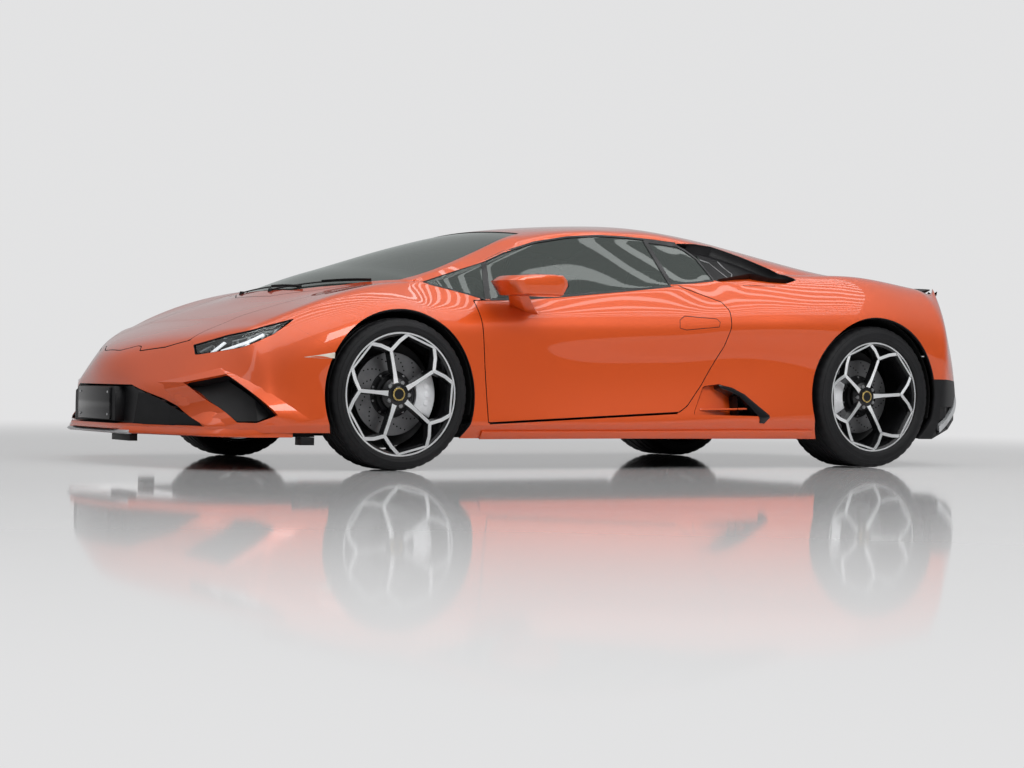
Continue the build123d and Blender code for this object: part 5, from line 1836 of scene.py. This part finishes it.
# --- mirrors and door trim
@dataclass
class DoorTrim(Trim):
    """One door's mirror, handle and window seals."""

    sign: int
    end: str
    head: Line = ((-772, 830), (-738, 852), (-640, 862), (-540, 864), (-482, 861), (-456, 838), (-453, 812),
                  (-482, 767), (-640, 765), (-724, 767), (-748, 798))
    slices: Sequence[Point3] = ((878, 0.50, -30), (905, 0.80, -12), (950, 0.96, -2), (1010, 1.0, 0),
                                (1072, 0.95, 0), (1100, 0.84, 4), (1111, 0.66, 8))  # y, scale, shift in x
    middle: Point2 = (-612.0, 818.0)

    def build(self) -> None:
        """Make and dress the door's details."""
        self.mirror()
        self.handle()
        self.seals()

    def place(self, shell: Shell) -> Shell:
        """Turn a left-hand shell to this door's side."""
        return shell.moved((0, 0, 0), flip=self.sign > 0)

    def mirror(self) -> None:
        """The mirror's head on its foot, with the glass on its rear face."""
        shell = Shell()
        rings = []
        for y, scale, shift in self.slices:
            rings.append([(self.middle[0] + (x - self.middle[0]) * scale + shift, -y,
                           self.middle[1] + (z - self.middle[1]) * (scale + 1) / 2) for x, z in self.head])
        shell.loft(rings)
        foot = []
        for x0, x1, y0, y1, z0, z1, thick in (
                (-624, -468, 852, 884, 726, 668, 10), (-650, -520, 892, 906, 738, 712, 11),
                (-690, -582, 950, 950, 774, 772, 13)):
            middle = ((x0 + x1) / 2, (y0 + y1) / 2, (z0 + z1) / 2)
            foot.append([
                (x0, -y0, z0), (middle[0], -middle[1] - thick, middle[2] - thick * 0.6), (x1, -y1, z1),
                (middle[0], -middle[1] + thick, middle[2] + thick * 0.6)])
        shell.loft(foot)
        self.place(shell)
        dress(
            shell.build(f"mirror_{self.end}_shell", [Look.PAINT], 3.0, smooth=24), f"door_{self.end}",
            "paint", f"mirror_{self.end}")
        glass = Shell()
        outline = [
            (-925, 790), (-925, 836), (-955, 845), (-1040, 845), (-1066, 834), (-1072, 812), (-1060, 796),
            (-1020, 788)]
        face = [
            (float(np.interp(z, (767, 812, 838, 861), (-482, -453, -456, -482))), y, z) for y, z in outline]
        for depths, slot in (((1.5, -2.0), 0), ((0.6, -9.0), 1)):
            glass.loft([[(x + d, y * (1 + 0.004 * slot), z) for x, y, z in face] for d in depths], slot)
        self.place(glass)
        dress(
            glass.build(f"mirror_{self.end}_glass", [Look.MIRROR, Look.BLACK], 1.0), f"door_{self.end}",
            "glass")

    def handle(self) -> None:
        """The flush door handle and its shut line."""
        shell = Shell()
        loop = (
            (262, 650), (268, 688), (300, 708), (478, 700), (494, 684), (486, 662), (300, 643), (262, 650))
        self.surface.ribbon(shell, loop, 3.0, 0.35, 2.0, 0, steps=5)
        self.surface.ribbon(shell, ((300, 668), (465, 680)), 14.0, 0.5, 3.0, 1, steps=12)
        self.place(shell)
        dress(shell.build(f"handle_{self.end}", [Look.BLACK, Look.PAINT]), f"door_{self.end}", "paint")

    def seals(self) -> None:
        """The black strip along the window's lower edge and its front post."""
        shell = Shell()
        for path, width, steps in (
                (((-722, 751), (-560, 760), (-370, 776), (0, 816), (284, 849)), 10.0, 10),
                (((-722, 756), (-664, 925)), 12.0, 8), (((283, 854), (257, 1064)), 8.0, 10)):
            self.surface.ribbon(shell, path, width, 0.8, 6.0, steps=steps)
        self.place(shell)
        dress(shell.build(f"window_seals_{self.end}", [Look.GLOSS_BLACK]), f"door_{self.end}", "trim_black")


@dataclass
class CabinSeals(Trim):
    """Black strips round the fixed glass and the wipers."""

    roof: Line = ((-660, 931), (-550, 976), (-370, 1030), (-180, 1064), (0, 1080), (150, 1080), (300, 1074),
                  (440, 1064))
    post: Line = ((-738, 752), (-674, 920))

    def build(self) -> None:
        """Make and dress the strips and wipers."""
        shell = Shell()
        for path, width, proud, sink, steps in (
                (self.roof, 8.0, 0.5, 5.0, 8), (self.post, 16.0, 0.6, 6.0, 8),
                (((-1006, 818), (-850, 782), (-745, 752)), 8.0, 0.5, 5.0, 8),
                (((289, 856), (262, 1070)), 26.0, 0.5, 6.0, 8),
                (((262, 1066), (352, 1060), (446, 1053)), 14.0, 0.6, 6.0, 8),
                (((442, 1050), (477, 1031), (522, 990), (557, 886)), 10.0, 0.8, 6.0, 6),
                (((298, 860), (420, 870), (552, 886)), 8.0, 0.5, 5.0, 6)):
            self.surface.ribbon(shell, path, width, proud, sink, steps=steps)
        dress(shell.mirrored().build("cabin_seals", [Look.GLOSS_BLACK]))
        self.wipers()

    def wipers(self) -> None:
        """Two parked wipers at the foot of the screen."""
        shell = Shell()
        for pivot, tip in (((-1420, -60), (-1190, -560)), ((-1400, 300), (-1370, -250))):
            self.surface.ribbon(shell, (pivot, tip), 9.0, 8.0, 5.0, 0, View.TOP, 12)
            middle = (np.array(pivot) + np.array(tip)) / 2
            start = middle + (np.array(tip) - middle) * 0.1
            blade = (start, np.array(tip) + (np.array(tip) - start) * 0.12)
            self.surface.ribbon(shell, blade, 5.0, 14.0, 12.0, 0, View.TOP, 10)
            base = self.surface.at(View.TOP, *pivot)
            shell.rod((base.x, base.y, base.z - 4), (base.x, base.y, base.z + 12), 14, 0, 16, 9)
        dress(shell.build("wipers", [Look.BLACK]))


# --- side and rear details
@dataclass
class SideTrim(Trim):
    """The flank intakes, the sills' dark edge and the ear intakes behind the doors."""

    blade_outer: Line = ((486, 391), (564, 377), (634, 346), (695, 301), (766, 251), (768, 240), (740, 213))
    blade_inner: Line = ((492, 376), (543, 362), (601, 339), (647, 298), (708, 242), (711, 232), (714, 216))
    ear_ramp: Outline = side_view(
        ((556, 889), (700, 915), (806, 932), (900, 912), (1034, 907), (900, 873), (700, 869)))
    scoop_depth: float = 92.0
    ear_depth: float = 46.0

    def build(self) -> None:
        """Make and dress the side's details."""
        flank = self.surface.form.keep(lambda p: p[:, 0] - 320, lambda p: 1100 - p[:, 0])
        hollow = flank.keep(lambda p: SCOOP.distance(p) - 1, beyond(700))
        # The hollow's rear part is black: painted shade deep in the scoop, where the hollow itself keeps the
        # paint.
        for name, material, part in (("scoop_ramps", Look.PAINT, hollow.keep(lambda p: 590 - p[:, 0])),
                                     ("scoop_throats_painted_shade", Look.BLACK, hollow.keep(lambda p: p[:, 0] - 590))):
            depth = np.clip((part.places[:, 0] - 340) / 330, 0.02, 1.0) * self.scoop_depth
            dress(
                part.moved(depth).build(name, 1.5 - depth, [material]), "body", "trim_black", "side_intakes")
        lined = flank.keep(lambda p: EAR.distance(p) - 1, beyond(480))
        dress(
            lined.keep(lambda p: -self.ear_ramp.distance(p)).moved(self.ear_depth).build(
                "ear_scoops", 1 - self.ear_depth, [Look.BLACK]), "body", "trim_black", "ear_intakes")
        floor = lined.keep(self.ear_ramp.distance)
        depth = 4 + np.clip((floor.places[:, 2] - 868) / 60, 0, 1) * 30
        dress(floor.moved(depth).build("ear_ramps", 0.0, [Look.PAINT]), "body", "paint", "ear_intakes")
        shell = Shell()
        shell.loft([[
            self.surface.side(*spot_, inward) for spot_, inward in (
                (a, -5.0), (b, -5.0), (b, 70.0),
                (a, 70.0))] for a, b in zip(self.blade_outer, self.blade_inner)])
        self.surface.ribbon(shell, ((374, 276), (500, 279), (645, 282)), 7.0, -6.0, 40.0, 1, steps=10)
        for path in (((693, 1015), (738, 961), (690, 921)), ((520, 1040), (640, 1010), (700, 930))):
            self.surface.ribbon(shell, path, 5.0, 2.0 - self.ear_depth, 10.0, 2, steps=8)
        self.surface.ribbon(
            shell, ((-800, 156), (0, 160), (600, 165), (1040, 166)), 34.0, 8.0, 10.0, 1, steps=12)
        dress(shell.mirrored().build("side_blades", [Look.GLOSS_BLACK, Look.PAINT, Look.GREY], 0.8), "body",
              "trim_black")


@dataclass
class TailTrim(Trim):
    """The engine cover's slats, the tail lamps, mesh, exhausts and diffuser."""

    tips: Sequence[float] = (-205.0, -95.0, 95.0, 205.0)
    tip_z: float = 415.0
    tip_radius: float = 45.0
    fins: Sequence[float] = (-500.0, -300.0, -110.0, 110.0, 300.0, 500.0)

    def build(self) -> None:
        """Make and dress the tail."""
        self.slats()
        self.lamps()
        self.exhausts()
        self.diffuser()
        self.spoiler()

    def slats(self) -> None:
        """Raised slats across the engine cover."""
        shell = Shell()
        for k in range(6):
            x = 750 + 96 * k
            reach = 205 + 22 * k
            rings = []
            for y in np.linspace(-reach, reach, 21):
                front, rear = self.surface.at(View.TOP, x, y), self.surface.at(View.TOP, x + 62, y)
                lift = 9.0 * (1 - (abs(y) / reach) ** 6)
                rings.append([
                    (front.x, y, front.z + 1.0), (front.x + 4, y, front.z + 3 + lift * 0.2),
                    (rear.x, y, rear.z + 2 + lift), (rear.x + 3, y, rear.z - 1 + lift),
                    (rear.x, y, rear.z - 3)])
            shell.loft(rings)
        dress(shell.build("engine_slats", [Look.BLACK]), "engine_lid", "trim_black")

    def lamps(self) -> None:
        """The tail lamps: a red cover with bright angular guides, and the mesh between them."""
        outline = PanelMap.tail_lamp
        area = self.surface.form.keep(
            lambda p: p[:, 0] - 1980, beyond(600), lambda p: outline.distance(p) - 2)
        dress(area.moved(2).build("tail_lamp_covers", 30, [Look.RED_LENS]), "body", "lamp_red", "tail_lamps")
        shell = Shell()
        for start, end in (
                ((-820, 760), (-770, 733)), ((-770, 733), (-700, 760)), ((-760, 740), (-640, 740))):
            self.surface.ribbon(shell, (start, end), 6.0, 0.6, 6.0, 0, View.BACK)
        dress(shell.mirrored().build("tail_guides", [Look.RED_GLOW]), "body", "lamp_red")
        mesh = Shell()
        for k in range(-23, 24):
            for lean in (-1, 1):
                y = k * 26.0
                if abs(y) < 585:
                    mesh.rod((2120, y - lean * 30, 566), (2112, y + lean * 30, 764), 3.0, 0, 5)
        dress(mesh.build("tail_mesh", [Look.BLACK]), "body", "grille_black")

    def exhausts(self) -> None:
        """Four round tips with rolled edges."""
        shell = Shell()
        for y in self.tips:
            tip = Shell()
            radius = self.tip_radius
            tip.lathe([(radius - 7, -160), (radius - 7, -8), (radius - 4, -1), (radius - 1, -2), (radius, -8),
                       (radius, -160)], 48, 0)
            tip.lathe([(radius - 7, -60), (0.2, -60)], 48, 1)
            shell.join(tip, lambda p: (p[1] + 2247, p[0] + y, p[2] + self.tip_z), flip=True)
        dress(shell.build("exhaust_ends", [Look.STEEL, Look.LINER]), "body", "steel", "exhaust_tips")

    def diffuser(self) -> None:
        """Sharper fins over the solid diffuser, and its silver outer blades."""
        shell = Shell()
        for y in self.fins:
            shell.prism(
                [(1850, 140), (2050, 150), (2232, 196), (2236, 300), (2200, 322), (2080, 262)], 1, y - 6,
                y + 6, 0)
        dress(shell.build("diffuser_fins", [Look.GLOSS_BLACK], 1.5))
        blades = Shell()
        self.surface.ribbon(
            blades, ((1850, 190), (1910, 228), (1990, 282), (2040, 340)), 40.0, 4.0, 16.0, 0, steps=8)
        self.surface.ribbon(blades, ((1850, 170), (1930, 190), (2010, 226)), 12.0, 3.0, 12.0, 1, steps=8)
        dress(blades.mirrored().build("tail_blades", [Look.SILVER, Look.BLACK]), "body", "grey_trim")

    def spoiler(self) -> None:
        """The black lip at the top of the tail."""
        shell = Shell()
        rings = []
        for y in np.linspace(-640, 640, 41):
            place = self.surface.at(View.TOP, 2010 - 0.00012 * y * y, y)
            x, z = place.x, place.z
            rings.append([
                (x, y, z + 0.5), (x + 34, y, z + 9), (x + 66, y, z + 16), (x + 70, y, z + 12),
                (x + 40, y, z - 2), (x + 6, y, z - 8)])
        shell.loft(rings)
        dress(shell.build("tail_lip", [Look.BLACK]))


# --- cabin
@dataclass
class Seat:
    """A bucket seat: shell, cushion, back, bolsters and head pad with sewn channels."""

    middle_y: float
    cushion_x: Point2 = (-325.0, 170.0)
    cushion_z: Point2 = (262.0, 385.0)
    half: float = 160.0
    bolster: float = 62.0
    recline: float = 24.0
    back_length: float = 560.0

    def build(self) -> None:
        """Make and dress the pads and the shell."""
        side = "l" if self.middle_y < 0 else "r"
        cushion, back = self.cushion_frame(), self.back_frame(0.0)
        self.pad(f"seat_cushion_{side}", cushion, self.half, 480.0, 74.0, 5)
        self.pad(f"seat_back_{side}", back, self.half - 8, self.back_length, 66.0, 6)
        self.pad(f"seat_head_{side}", self.back_frame(self.back_length + 6), 112.0, 118.0, 62.0, 1)
        for sign in (-1, 1):
            name = "inner" if sign * self.middle_y < 0 else "outer"
            self.roll(f"seat_{name}_thigh_{side}", cushion, sign, 470.0, 58.0)
            self.roll(f"seat_{name}_wing_{side}", back, sign, 520.0, 70.0)
        self.shell(f"seat_shell_{side}")

    def fit(self, shell: Shell, name: str, smooth: float, fill: float) -> None:
        """Build and dress a leather pad.

        Args:
            shell: Its shell, in place.
            name: The piece's name.
            smooth: Edges sharper than this angle stay sharp.
            fill: From 0, slack, to 1, tight; not used.
        """
        piece = shell.build(name, [Look.LEATHER], smooth=smooth)
        dress(piece, "body", "leather", "seats")

    def cushion_frame(self) -> Matrix:
        """Where the cushion lies: local x along it to the rear, z up from its base."""
        place = Matrix.Translation((self.cushion_x[0] + 10, self.middle_y, self.cushion_z[0] + 44))
        return place @ Matrix.Rotation(math.radians(6), 4, "Y")

    def back_frame(self, along: float) -> Matrix:
        """Where the back stands, at a length up from its foot.

        Args:
            along: The length, in millimetres.

        Returns:
            The place.
        """
        foot = Matrix.Translation((168.0, self.middle_y, 308.0))
        lean = Matrix.Rotation(math.radians(-(90 - self.recline)), 4, "Y")
        return foot @ lean @ Matrix.Translation((along, 0, 0))

    def pad(self, name: str, frame: Matrix, half: float, length: float, thick: float, channels: int) -> None:
        """A crowned pad with sewn channels across it.

        Args:
            name: The piece's name.
            frame: Where it lies.
            half: Half its width.
            length: Its length.
            thick: Its thickness at the middle.
            channels: How many channels it is sewn into.
        """
        rows, columns = 16 * channels + 1, 25
        places = []
        for i in range(rows):
            u = i / (rows - 1)
            for j in range(columns):
                v = -1 + 2 * j / (columns - 1)
                edge = (1 - abs(v) ** 5) ** 0.5 * (1 - abs(2 * u - 1) ** 7) ** 0.5
                seam = abs(math.sin(math.pi * u * channels)) ** 0.45
                crown = thick * (0.36 + 0.52 * edge) * (0.86 + 0.14 * (seam if 0.04 < u < 0.96 else 1.0))
                pull = 1 - 0.035 * (1 - abs(2 * u - 1) ** 2) - 0.05 * abs(2 * u - 1) ** 6
                dip = -9.0 * (1 - v * v)
                places.append((u * length, v * half * pull, crown * (0.25 + 0.75 * edge) + dip * edge))
        under = [(x, y * 0.97, -8.0) for x, y, _ in places]
        shell = Shell()
        corners = [i * columns + j for i in range(rows - 1) for j in range(columns - 1)]
        quads = [(k, k + 1, k + columns + 1, k + columns) for k in corners]
        count = len(places)
        ring = [*range(columns)] + [i * columns + columns - 1 for i in range(1, rows)]
        ring += [(rows - 1) * columns + j for j in range(columns - 2, -1, -1)]
        ring += [i * columns for i in range(rows - 2, 0, -1)]
        back = [tuple(k + count for k in quad[::-1]) for quad in quads]
        edges = [(a + count, b + count, b, a) for a, b in zip(ring, ring[1:] + ring[:1])]
        shell.add(places + under, quads + back + edges)
        shell.points = [tuple(frame @ Vector(p)) for p in shell.points]
        self.fit(shell, name, 60, 0.7)

    def roll(self, name: str, frame: Matrix, sign: int, length: float, tall: float) -> None:
        """A bolster along one side of a pad.

        Args:
            name: The piece's name.
            frame: The pad's place.
            sign: Which side.
            length: Its length.
            tall: How far it stands over the pad's base.
        """
        rings = []
        for u in np.linspace(0, 1, 31):
            swell = (1 - abs(2 * u - 1) ** 4) ** 0.5
            width, top = self.bolster * (0.45 + 0.5 * swell), 26 + tall * (0.35 + 0.75 * swell)
            ring = []
            for t in np.linspace(0, 2 * math.pi, 22, endpoint=False):
                y = sign * (
                    self.half + self.bolster * 0.32 + width / 2
                    * math.copysign(abs(math.cos(t)) ** 0.8, math.cos(t)))
                z = top / 2 - 6 + top / 2 * math.copysign(abs(math.sin(t)) ** 0.8, math.sin(t))
                ring.append(tuple(frame @ Vector((8 + u * length, y, z))))
            rings.append(ring if sign < 0 else ring[::-1])
        shell = Shell()
        shell.loft(rings)
        self.fit(shell, name, 70, 0.8)

    def shell(self, name: str) -> None:
        """The hard back and base.

        Args:
            name: The piece's name.
        """
        shell = Shell()
        rings = []
        for along in np.linspace(-20, self.back_length + 120, 16):
            frame = self.back_frame(along)
            taper = 1.0 - 0.42 * max(0.0, (along - 360) / 320) ** 1.4
            outline = (
                (-228, 6), (-222, -26), (-120, -46), (120, -46), (222, -26), (228, 6), (120, -12),
                (-120, -12))
            rings.append([tuple(frame @ Vector((0, y * taper, z))) for y, z in outline])
        shell.loft(rings)
        base = [(-222, -30), (222, -30), (230, 36), (200, 10), (-200, 10), (-230, 36)]
        frame = self.cushion_frame()
        shell.loft([[
            tuple(frame @ Vector((x, y * s, z)))
            for y, z in base] for x, s in ((-4, 0.9), (60, 1), (440, 1), (500, 0.96))])
        for y in (-150, 150):
            shell.box((-250, self.middle_y + y - 12, 199), (120, self.middle_y + y + 12, 236))
            shell.box((-240, self.middle_y + y - 8, 236), (110, self.middle_y + y + 8, 268))
        dress(shell.build(name, [Look.BLACK], 2.0), "body", "leather", "seats")


@dataclass
class Cabin:
    """Seats, dashboard, console and steering wheel."""

    seat_y: float = 372.0
    wheel_centre: Point3 = (-490.0, -372.0, 700.0)
    wheel_tilt: float = 22.0
    wheel_radius: float = 168.0

    def build(self) -> None:
        """Make and dress the cabin."""
        for sign in (-1, 1):
            Seat(sign * self.seat_y).build()
        self.dashboard()
        self.console()
        self.steering_wheel()

    def dashboard(self) -> None:
        """A leather dash with a binnacle and round vents."""
        rings = []
        for y in np.linspace(-632, 632, 57):
            hood = 24.0 * math.exp(-((y + 372) / 130) ** 4)
            sweep = 34.0 * (abs(y) / 632) ** 2
            rings.append([
                (-992, y, 700), (-992, y, 744), (-880, y, 766 + hood * 0.3),
                (-760 - sweep * 0.3, y, 764 + hood), (-690 - sweep, y, 750 + hood),
                (-660 - sweep, y, 726 + hood * 0.6), (-672 - sweep, y, 690), (-700 - sweep, y, 640),
                (-760, y, 585), (-900, y, 566), (-985, y, 600)])
        shell = Shell()
        shell.loft(rings)
        dash = dress(shell.build("dash_top", [Look.LEATHER], smooth=50), "body", "leather", "dashboard")
        trim = Shell()
        for y in (-560, -170, 170, 560):
            vent = Shell()
            vent.lathe([(44, 0), (44, 7), (38, 9), (35, 4), (30, 2)], 32, 0)
            for k in range(5):
                vent.box((-30 + k * 13, 0, -26), (-27 + k * 13, 4, 26), 1)
            trim.join(vent, lambda p: (-676 + p[1] - (24 if abs(y) > 400 else 0), y + p[0], 700 + p[2]))
        trim.prism([(-470, 700), (-274, 700), (-262, 756), (-482, 756)], 0, -700, -672, 1, 0.97)
        dress(trim.build("dash_vents", [Look.BLACK, Look.GLOSS_BLACK]))

    def console(self) -> None:
        """The middle tunnel with its raised rows of buttons."""
        shell = Shell()
        rings = []
        for x, z, half in (
                (-892, 548, 98), (-760, 556, 100), (-620, 540, 102), (-480, 470, 102), (-300, 430, 101),
                (0, 405, 100), (200, 396, 98), (292, 380, 96)):
            rings.append([
                (x, -half, 200), (x, -half, z - 26), (x, -half + 18, z - 4), (x, 0, z), (x, half - 18, z - 4),
                (x, half, z - 26), (x, half, 200)])
        shell.loft(rings)
        for k, x in enumerate((-600, -540, -480, -420)):
            z = np.interp(x, (-620, -480, -300), (540, 470, 430))
            for y in (-48, -16, 16, 48):
                shell.box((x - 16, y - 12, z - 6), (x + 16, y + 12, z + 5 + k * 0.5), 1)
        shell.box((-330, -26, 424), (-210, 26, 452), 1)
        shell.rod((-270, 0, 448), (-262, 0, 478), 13, 2, 16, 17)
        dress(
            shell.build("console_cover", [Look.SUEDE, Look.GLOSS_BLACK, Look.SILVER], 3.0), "body", "leather",
            "console")

    def steering_wheel(self) -> None:
        """A three-spoke wheel with a flat foot."""
        shell = Shell()
        frame = (
            Matrix.Translation(self.wheel_centre) @ Matrix.Rotation(math.radians(-self.wheel_tilt), 4, "Y"))
        rings = []
        for t in np.linspace(0, 2 * math.pi, 64, endpoint=False):
            y, z = self.wheel_radius * math.cos(t), self.wheel_radius * math.sin(t)
            z = max(z, -self.wheel_radius * 0.84)
            grip = 15.0 + (2.5 if 0.15 < abs(math.sin(t)) < 0.75 and z > -60 else 0.0)
            radial = Vector((0, y, z)).normalized()
            rings.append([
                tuple(
                    frame @ (
                        Vector((0, y, z)) + grip * (math.cos(a) * radial + math.sin(a) * Vector((1, 0, 0)))))
                for a in np.linspace(0, 2 * math.pi, 14, endpoint=False)])
        shell.loft(rings, 0, around=True)
        for angle in (8, 172, 270):
            a = math.radians(angle)
            ahead = Vector((0, math.cos(a), math.sin(a)))
            side = Vector((0, -math.sin(a), math.cos(a)))
            reach = self.wheel_radius * (0.84 if angle == 270 else 0.98)
            spoke = []
            for r, wide in ((38, 26), (80, 17), (reach - 6, 20)):
                spoke.append([tuple(frame @ (ahead * r + side * s * wide + Vector((d, 0, 0)))) for s, d in
                              ((-1, -14), (1, -14), (1, -4), (-1, -4))])
            shell.loft(spoke, 1)
        hub = Shell()
        hub.lathe([(0.2, 16), (34, 14), (50, 4), (54, -10), (46, -26), (0.2, -26)], 40, 0)
        shell.join(hub, lambda p: frame @ Vector((p[1] - 8, p[0], p[2])))
        column = [tuple(frame @ Vector((-30, 0, 0))), tuple(frame @ Vector((-236, 0, -12)))]
        shell.rod(column[0], column[1], 30, 2, 20, 34)
        dress(shell.build("steering_rim", [Look.SUEDE, Look.GLOSS_BLACK, Look.BLACK], smooth=50), "body",
              "leather", "steering_wheel")


KEPT_SOLIDS = {
    Look.LINER: "tub arch_liners", Look.BLACK: "front_grille intake_grilles rear_grille diffuser",
    Look.GLASS: "rear_screen", Look.METAL: "engine_block rear_uprights knuckle_fl knuckle_fr",
    Look.STEEL: "wishbones half_shaft_l half_shaft_r"}


def finish_solids() -> None:
    """Give the solids that stay as they are their finishes."""
    for look, names in KEPT_SOLIDS.items():
        for name in names.split():
            materials = frame["nodes"][name].data.materials
            materials.clear()
            materials.append(look.material)
            log.info("finish %s on %s", look.material.name, name)


# --- studio
@dataclass
class Studio:
    """Pale floor, backdrop, soft lights and the camera."""

    camera_place: Point3 = (-5.7256, -9.3100, 0.3957)
    yaw: float = 31.213
    pitch: float = -0.591
    roll: float = 1.006
    focal_px: float = 2221.06
    frame_px: tuple[int, int] = (1024, 768)
    centre_y_px: float = 403.216
    floor_colour: Colour = (0.72, 0.72, 0.725)
    room_colour: Colour = (0.765, 0.765, 0.77)
    sky_levels: Line = ((0.0, 0.16), (0.22, 0.24), (0.6, 0.62))
    strips: int = 17

    def build(self) -> None:
        """Make everything that isn't the car."""
        self.floor()
        self.lights()
        self.camera()

    def floor(self) -> None:
        """A pale polished floor that fades into the white room further out."""
        size = 60.0
        tree = NodeTree(bpy.data.materials.new("studio_floor"))
        cloud = tree.ramp(
            tree.noise(0.9, 3.0), [(0.3, [c * 0.97 for c in self.floor_colour]), (0.7, self.floor_colour)])
        facing = tree.add("LayerWeight", Blend=0.5)
        grazing = tree.add(
            "MapRange", Value=facing.outputs["Facing"], From_Min=0.62, From_Max=0.84, To_Min=0.0, To_Max=0.6)
        lit = tree.add(
            "BsdfPrincipled", Base_Color=cloud, Roughness=0.05, Specular_IOR_Level=grazing.outputs[0])
        shown = tree.add("Emission", Color=(*self.room_colour, 1.0), Strength=1.0)
        path = tree.add("LightPath").outputs
        seen = tree.math("MAXIMUM", tree.math("MAXIMUM", path["Is Camera Ray"], path["Is Glossy Ray"]),
                         path["Is Transmission Ray"])
        away = tree.add("VectorMath", "LENGTH", Vector=tree.coords())
        fade = tree.add(
            "MapRange", Value=away.outputs["Value"], From_Min=3.0, From_Max=9.0, To_Min=0.0, To_Max=1.0)
        fade.interpolation_type = "SMOOTHSTEP"
        mix = tree.mix(tree.math("MULTIPLY", seen, fade.outputs[0]), lit, shown)
        mesh = bpy.data.meshes.new("studio_floor")
        mesh.from_pydata([(x * size, y * size, -0.0005) for x, y in ((-1, -1), (1, -1), (1, 1), (-1, 1))], [],
                         [(0, 1, 2, 3)])
        new_piece(mesh, [tree.finish(mix)])

    def lights(self) -> None:
        """Soft boxes above and beside the car, and a white world behind."""
        tree = NodeTree(bpy.data.worlds.new("studio"))
        place = tree.add("TexCoord").outputs["Generated"]
        rise = tree.add("SeparateXYZ", Vector=place)
        stops = [(height, (level * 0.97, level * 0.99, level)) for height, level in self.sky_levels]
        sky = tree.ramp(rise.outputs["Z"], [*stops, (1.0, (1.0, 1.0, 1.0))])
        behind = tree.add("VectorMath", "DOT_PRODUCT", Vector=place)
        behind.inputs[1].default_value = (0.518, 0.855, 0.0)
        turn = tree.add("MapRange", Value=behind.outputs["Value"], From_Min=-0.1, From_Max=0.45)
        room = tree.add("Mix")
        room.data_type = "RGBA"
        for key, value in (
                ("Factor", turn.outputs[0]), ("A", sky), ("B", (*[c * 0.66 for c in self.room_colour], 1.0))):
            tree.feed(room.inputs[key], value)
        fill = tree.add("Background", Color=room.outputs["Result"], Strength=1.0)
        shown = tree.add("Background", Color=(*self.room_colour, 1.0), Strength=1.0)
        bpy.context.scene.world = tree.finish(
            tree.mix(tree.add("LightPath").outputs["Is Camera Ray"], fill, shown))
        self.soft_box("key", (0.8, -6.5, 4.6), (0.2, -0.3, 0.4), (5.0, 2.2), 235.0)
        self.soft_box("front", (-7.0, -3.0, 5.5), (-1.0, 0.0, 0.6), (1.2, 4.0), 18.0)
        for k in range(self.strips):
            y = -3.6 + 0.29 * k
            self.soft_box(f"strip_{k}", (0.0, y, 4.6), (0.0, y, 0.0), (9.0, 0.1), 8.5)

    def soft_box(self, name: str, place: Point3, aim: Point3, size: Point2, power: float) -> None:
        """Add one area light.

        Args:
            name: Its name.
            place: Where it hangs, in metres.
            aim: The point that it faces.
            size: Its width and height.
            power: Watts.
        """
        data = bpy.data.lights.new(name, "AREA")
        data.shape = "RECTANGLE"
        data.size, data.size_y = size
        data.energy = power
        light = bpy.data.objects.new(name, data)
        light.location = place
        light.rotation_euler = (Vector(aim) - Vector(place)).to_track_quat("-Z", "Y").to_euler()
        bpy.context.scene.collection.objects.link(light)

    def camera(self) -> None:
        """The camera, at its solved place and turn."""
        data = bpy.data.cameras.new("view")
        width, height = self.frame_px
        data.sensor_width = 36.0
        data.lens = self.focal_px * 36.0 / width
        data.shift_y = (self.centre_y_px - height / 2) / width
        yaw, pitch, roll = (math.radians(v) for v in (self.yaw, self.pitch, self.roll))
        ahead = Vector((math.sin(yaw) * math.cos(pitch), math.cos(yaw) * math.cos(pitch), math.sin(pitch)))
        right = Vector((math.cos(yaw), -math.sin(yaw), 0.0))
        up = right.cross(ahead)
        across = math.cos(roll) * right + math.sin(roll) * up
        upward = -math.sin(roll) * right + math.cos(roll) * up
        turn = Matrix((across, upward, -ahead)).transposed()
        camera = bpy.data.objects.new("view", data)
        camera.matrix_world = Matrix.Translation(self.camera_place) @ turn.to_4x4()
        data.clip_end = 200.0
        bpy.context.scene.collection.objects.link(camera)
        bpy.context.scene.camera = camera


def main() -> None:
    """Build the car and its studio in order."""
    logging.basicConfig(level=logging.INFO)
    bpy.context.scene.view_settings.view_transform = "Standard"
    form = BodyForm()
    log.info("form has %d triangles", len(form.skin.faces))
    Panels(form.skin, PanelMap()).build()
    build_wheels()
    surface = Surface(form.skin)
    HeadLamps(surface).build()
    NoseTrim(surface).build()
    for sign, end in SIDES:
        DoorTrim(surface, sign, end).build()
    CabinSeals(surface).build()
    SideTrim(surface).build()
    TailTrim(surface).build()
    Cabin().build()
    finish_solids()
    Studio().build()


if __name__ == "__main__":
    main()
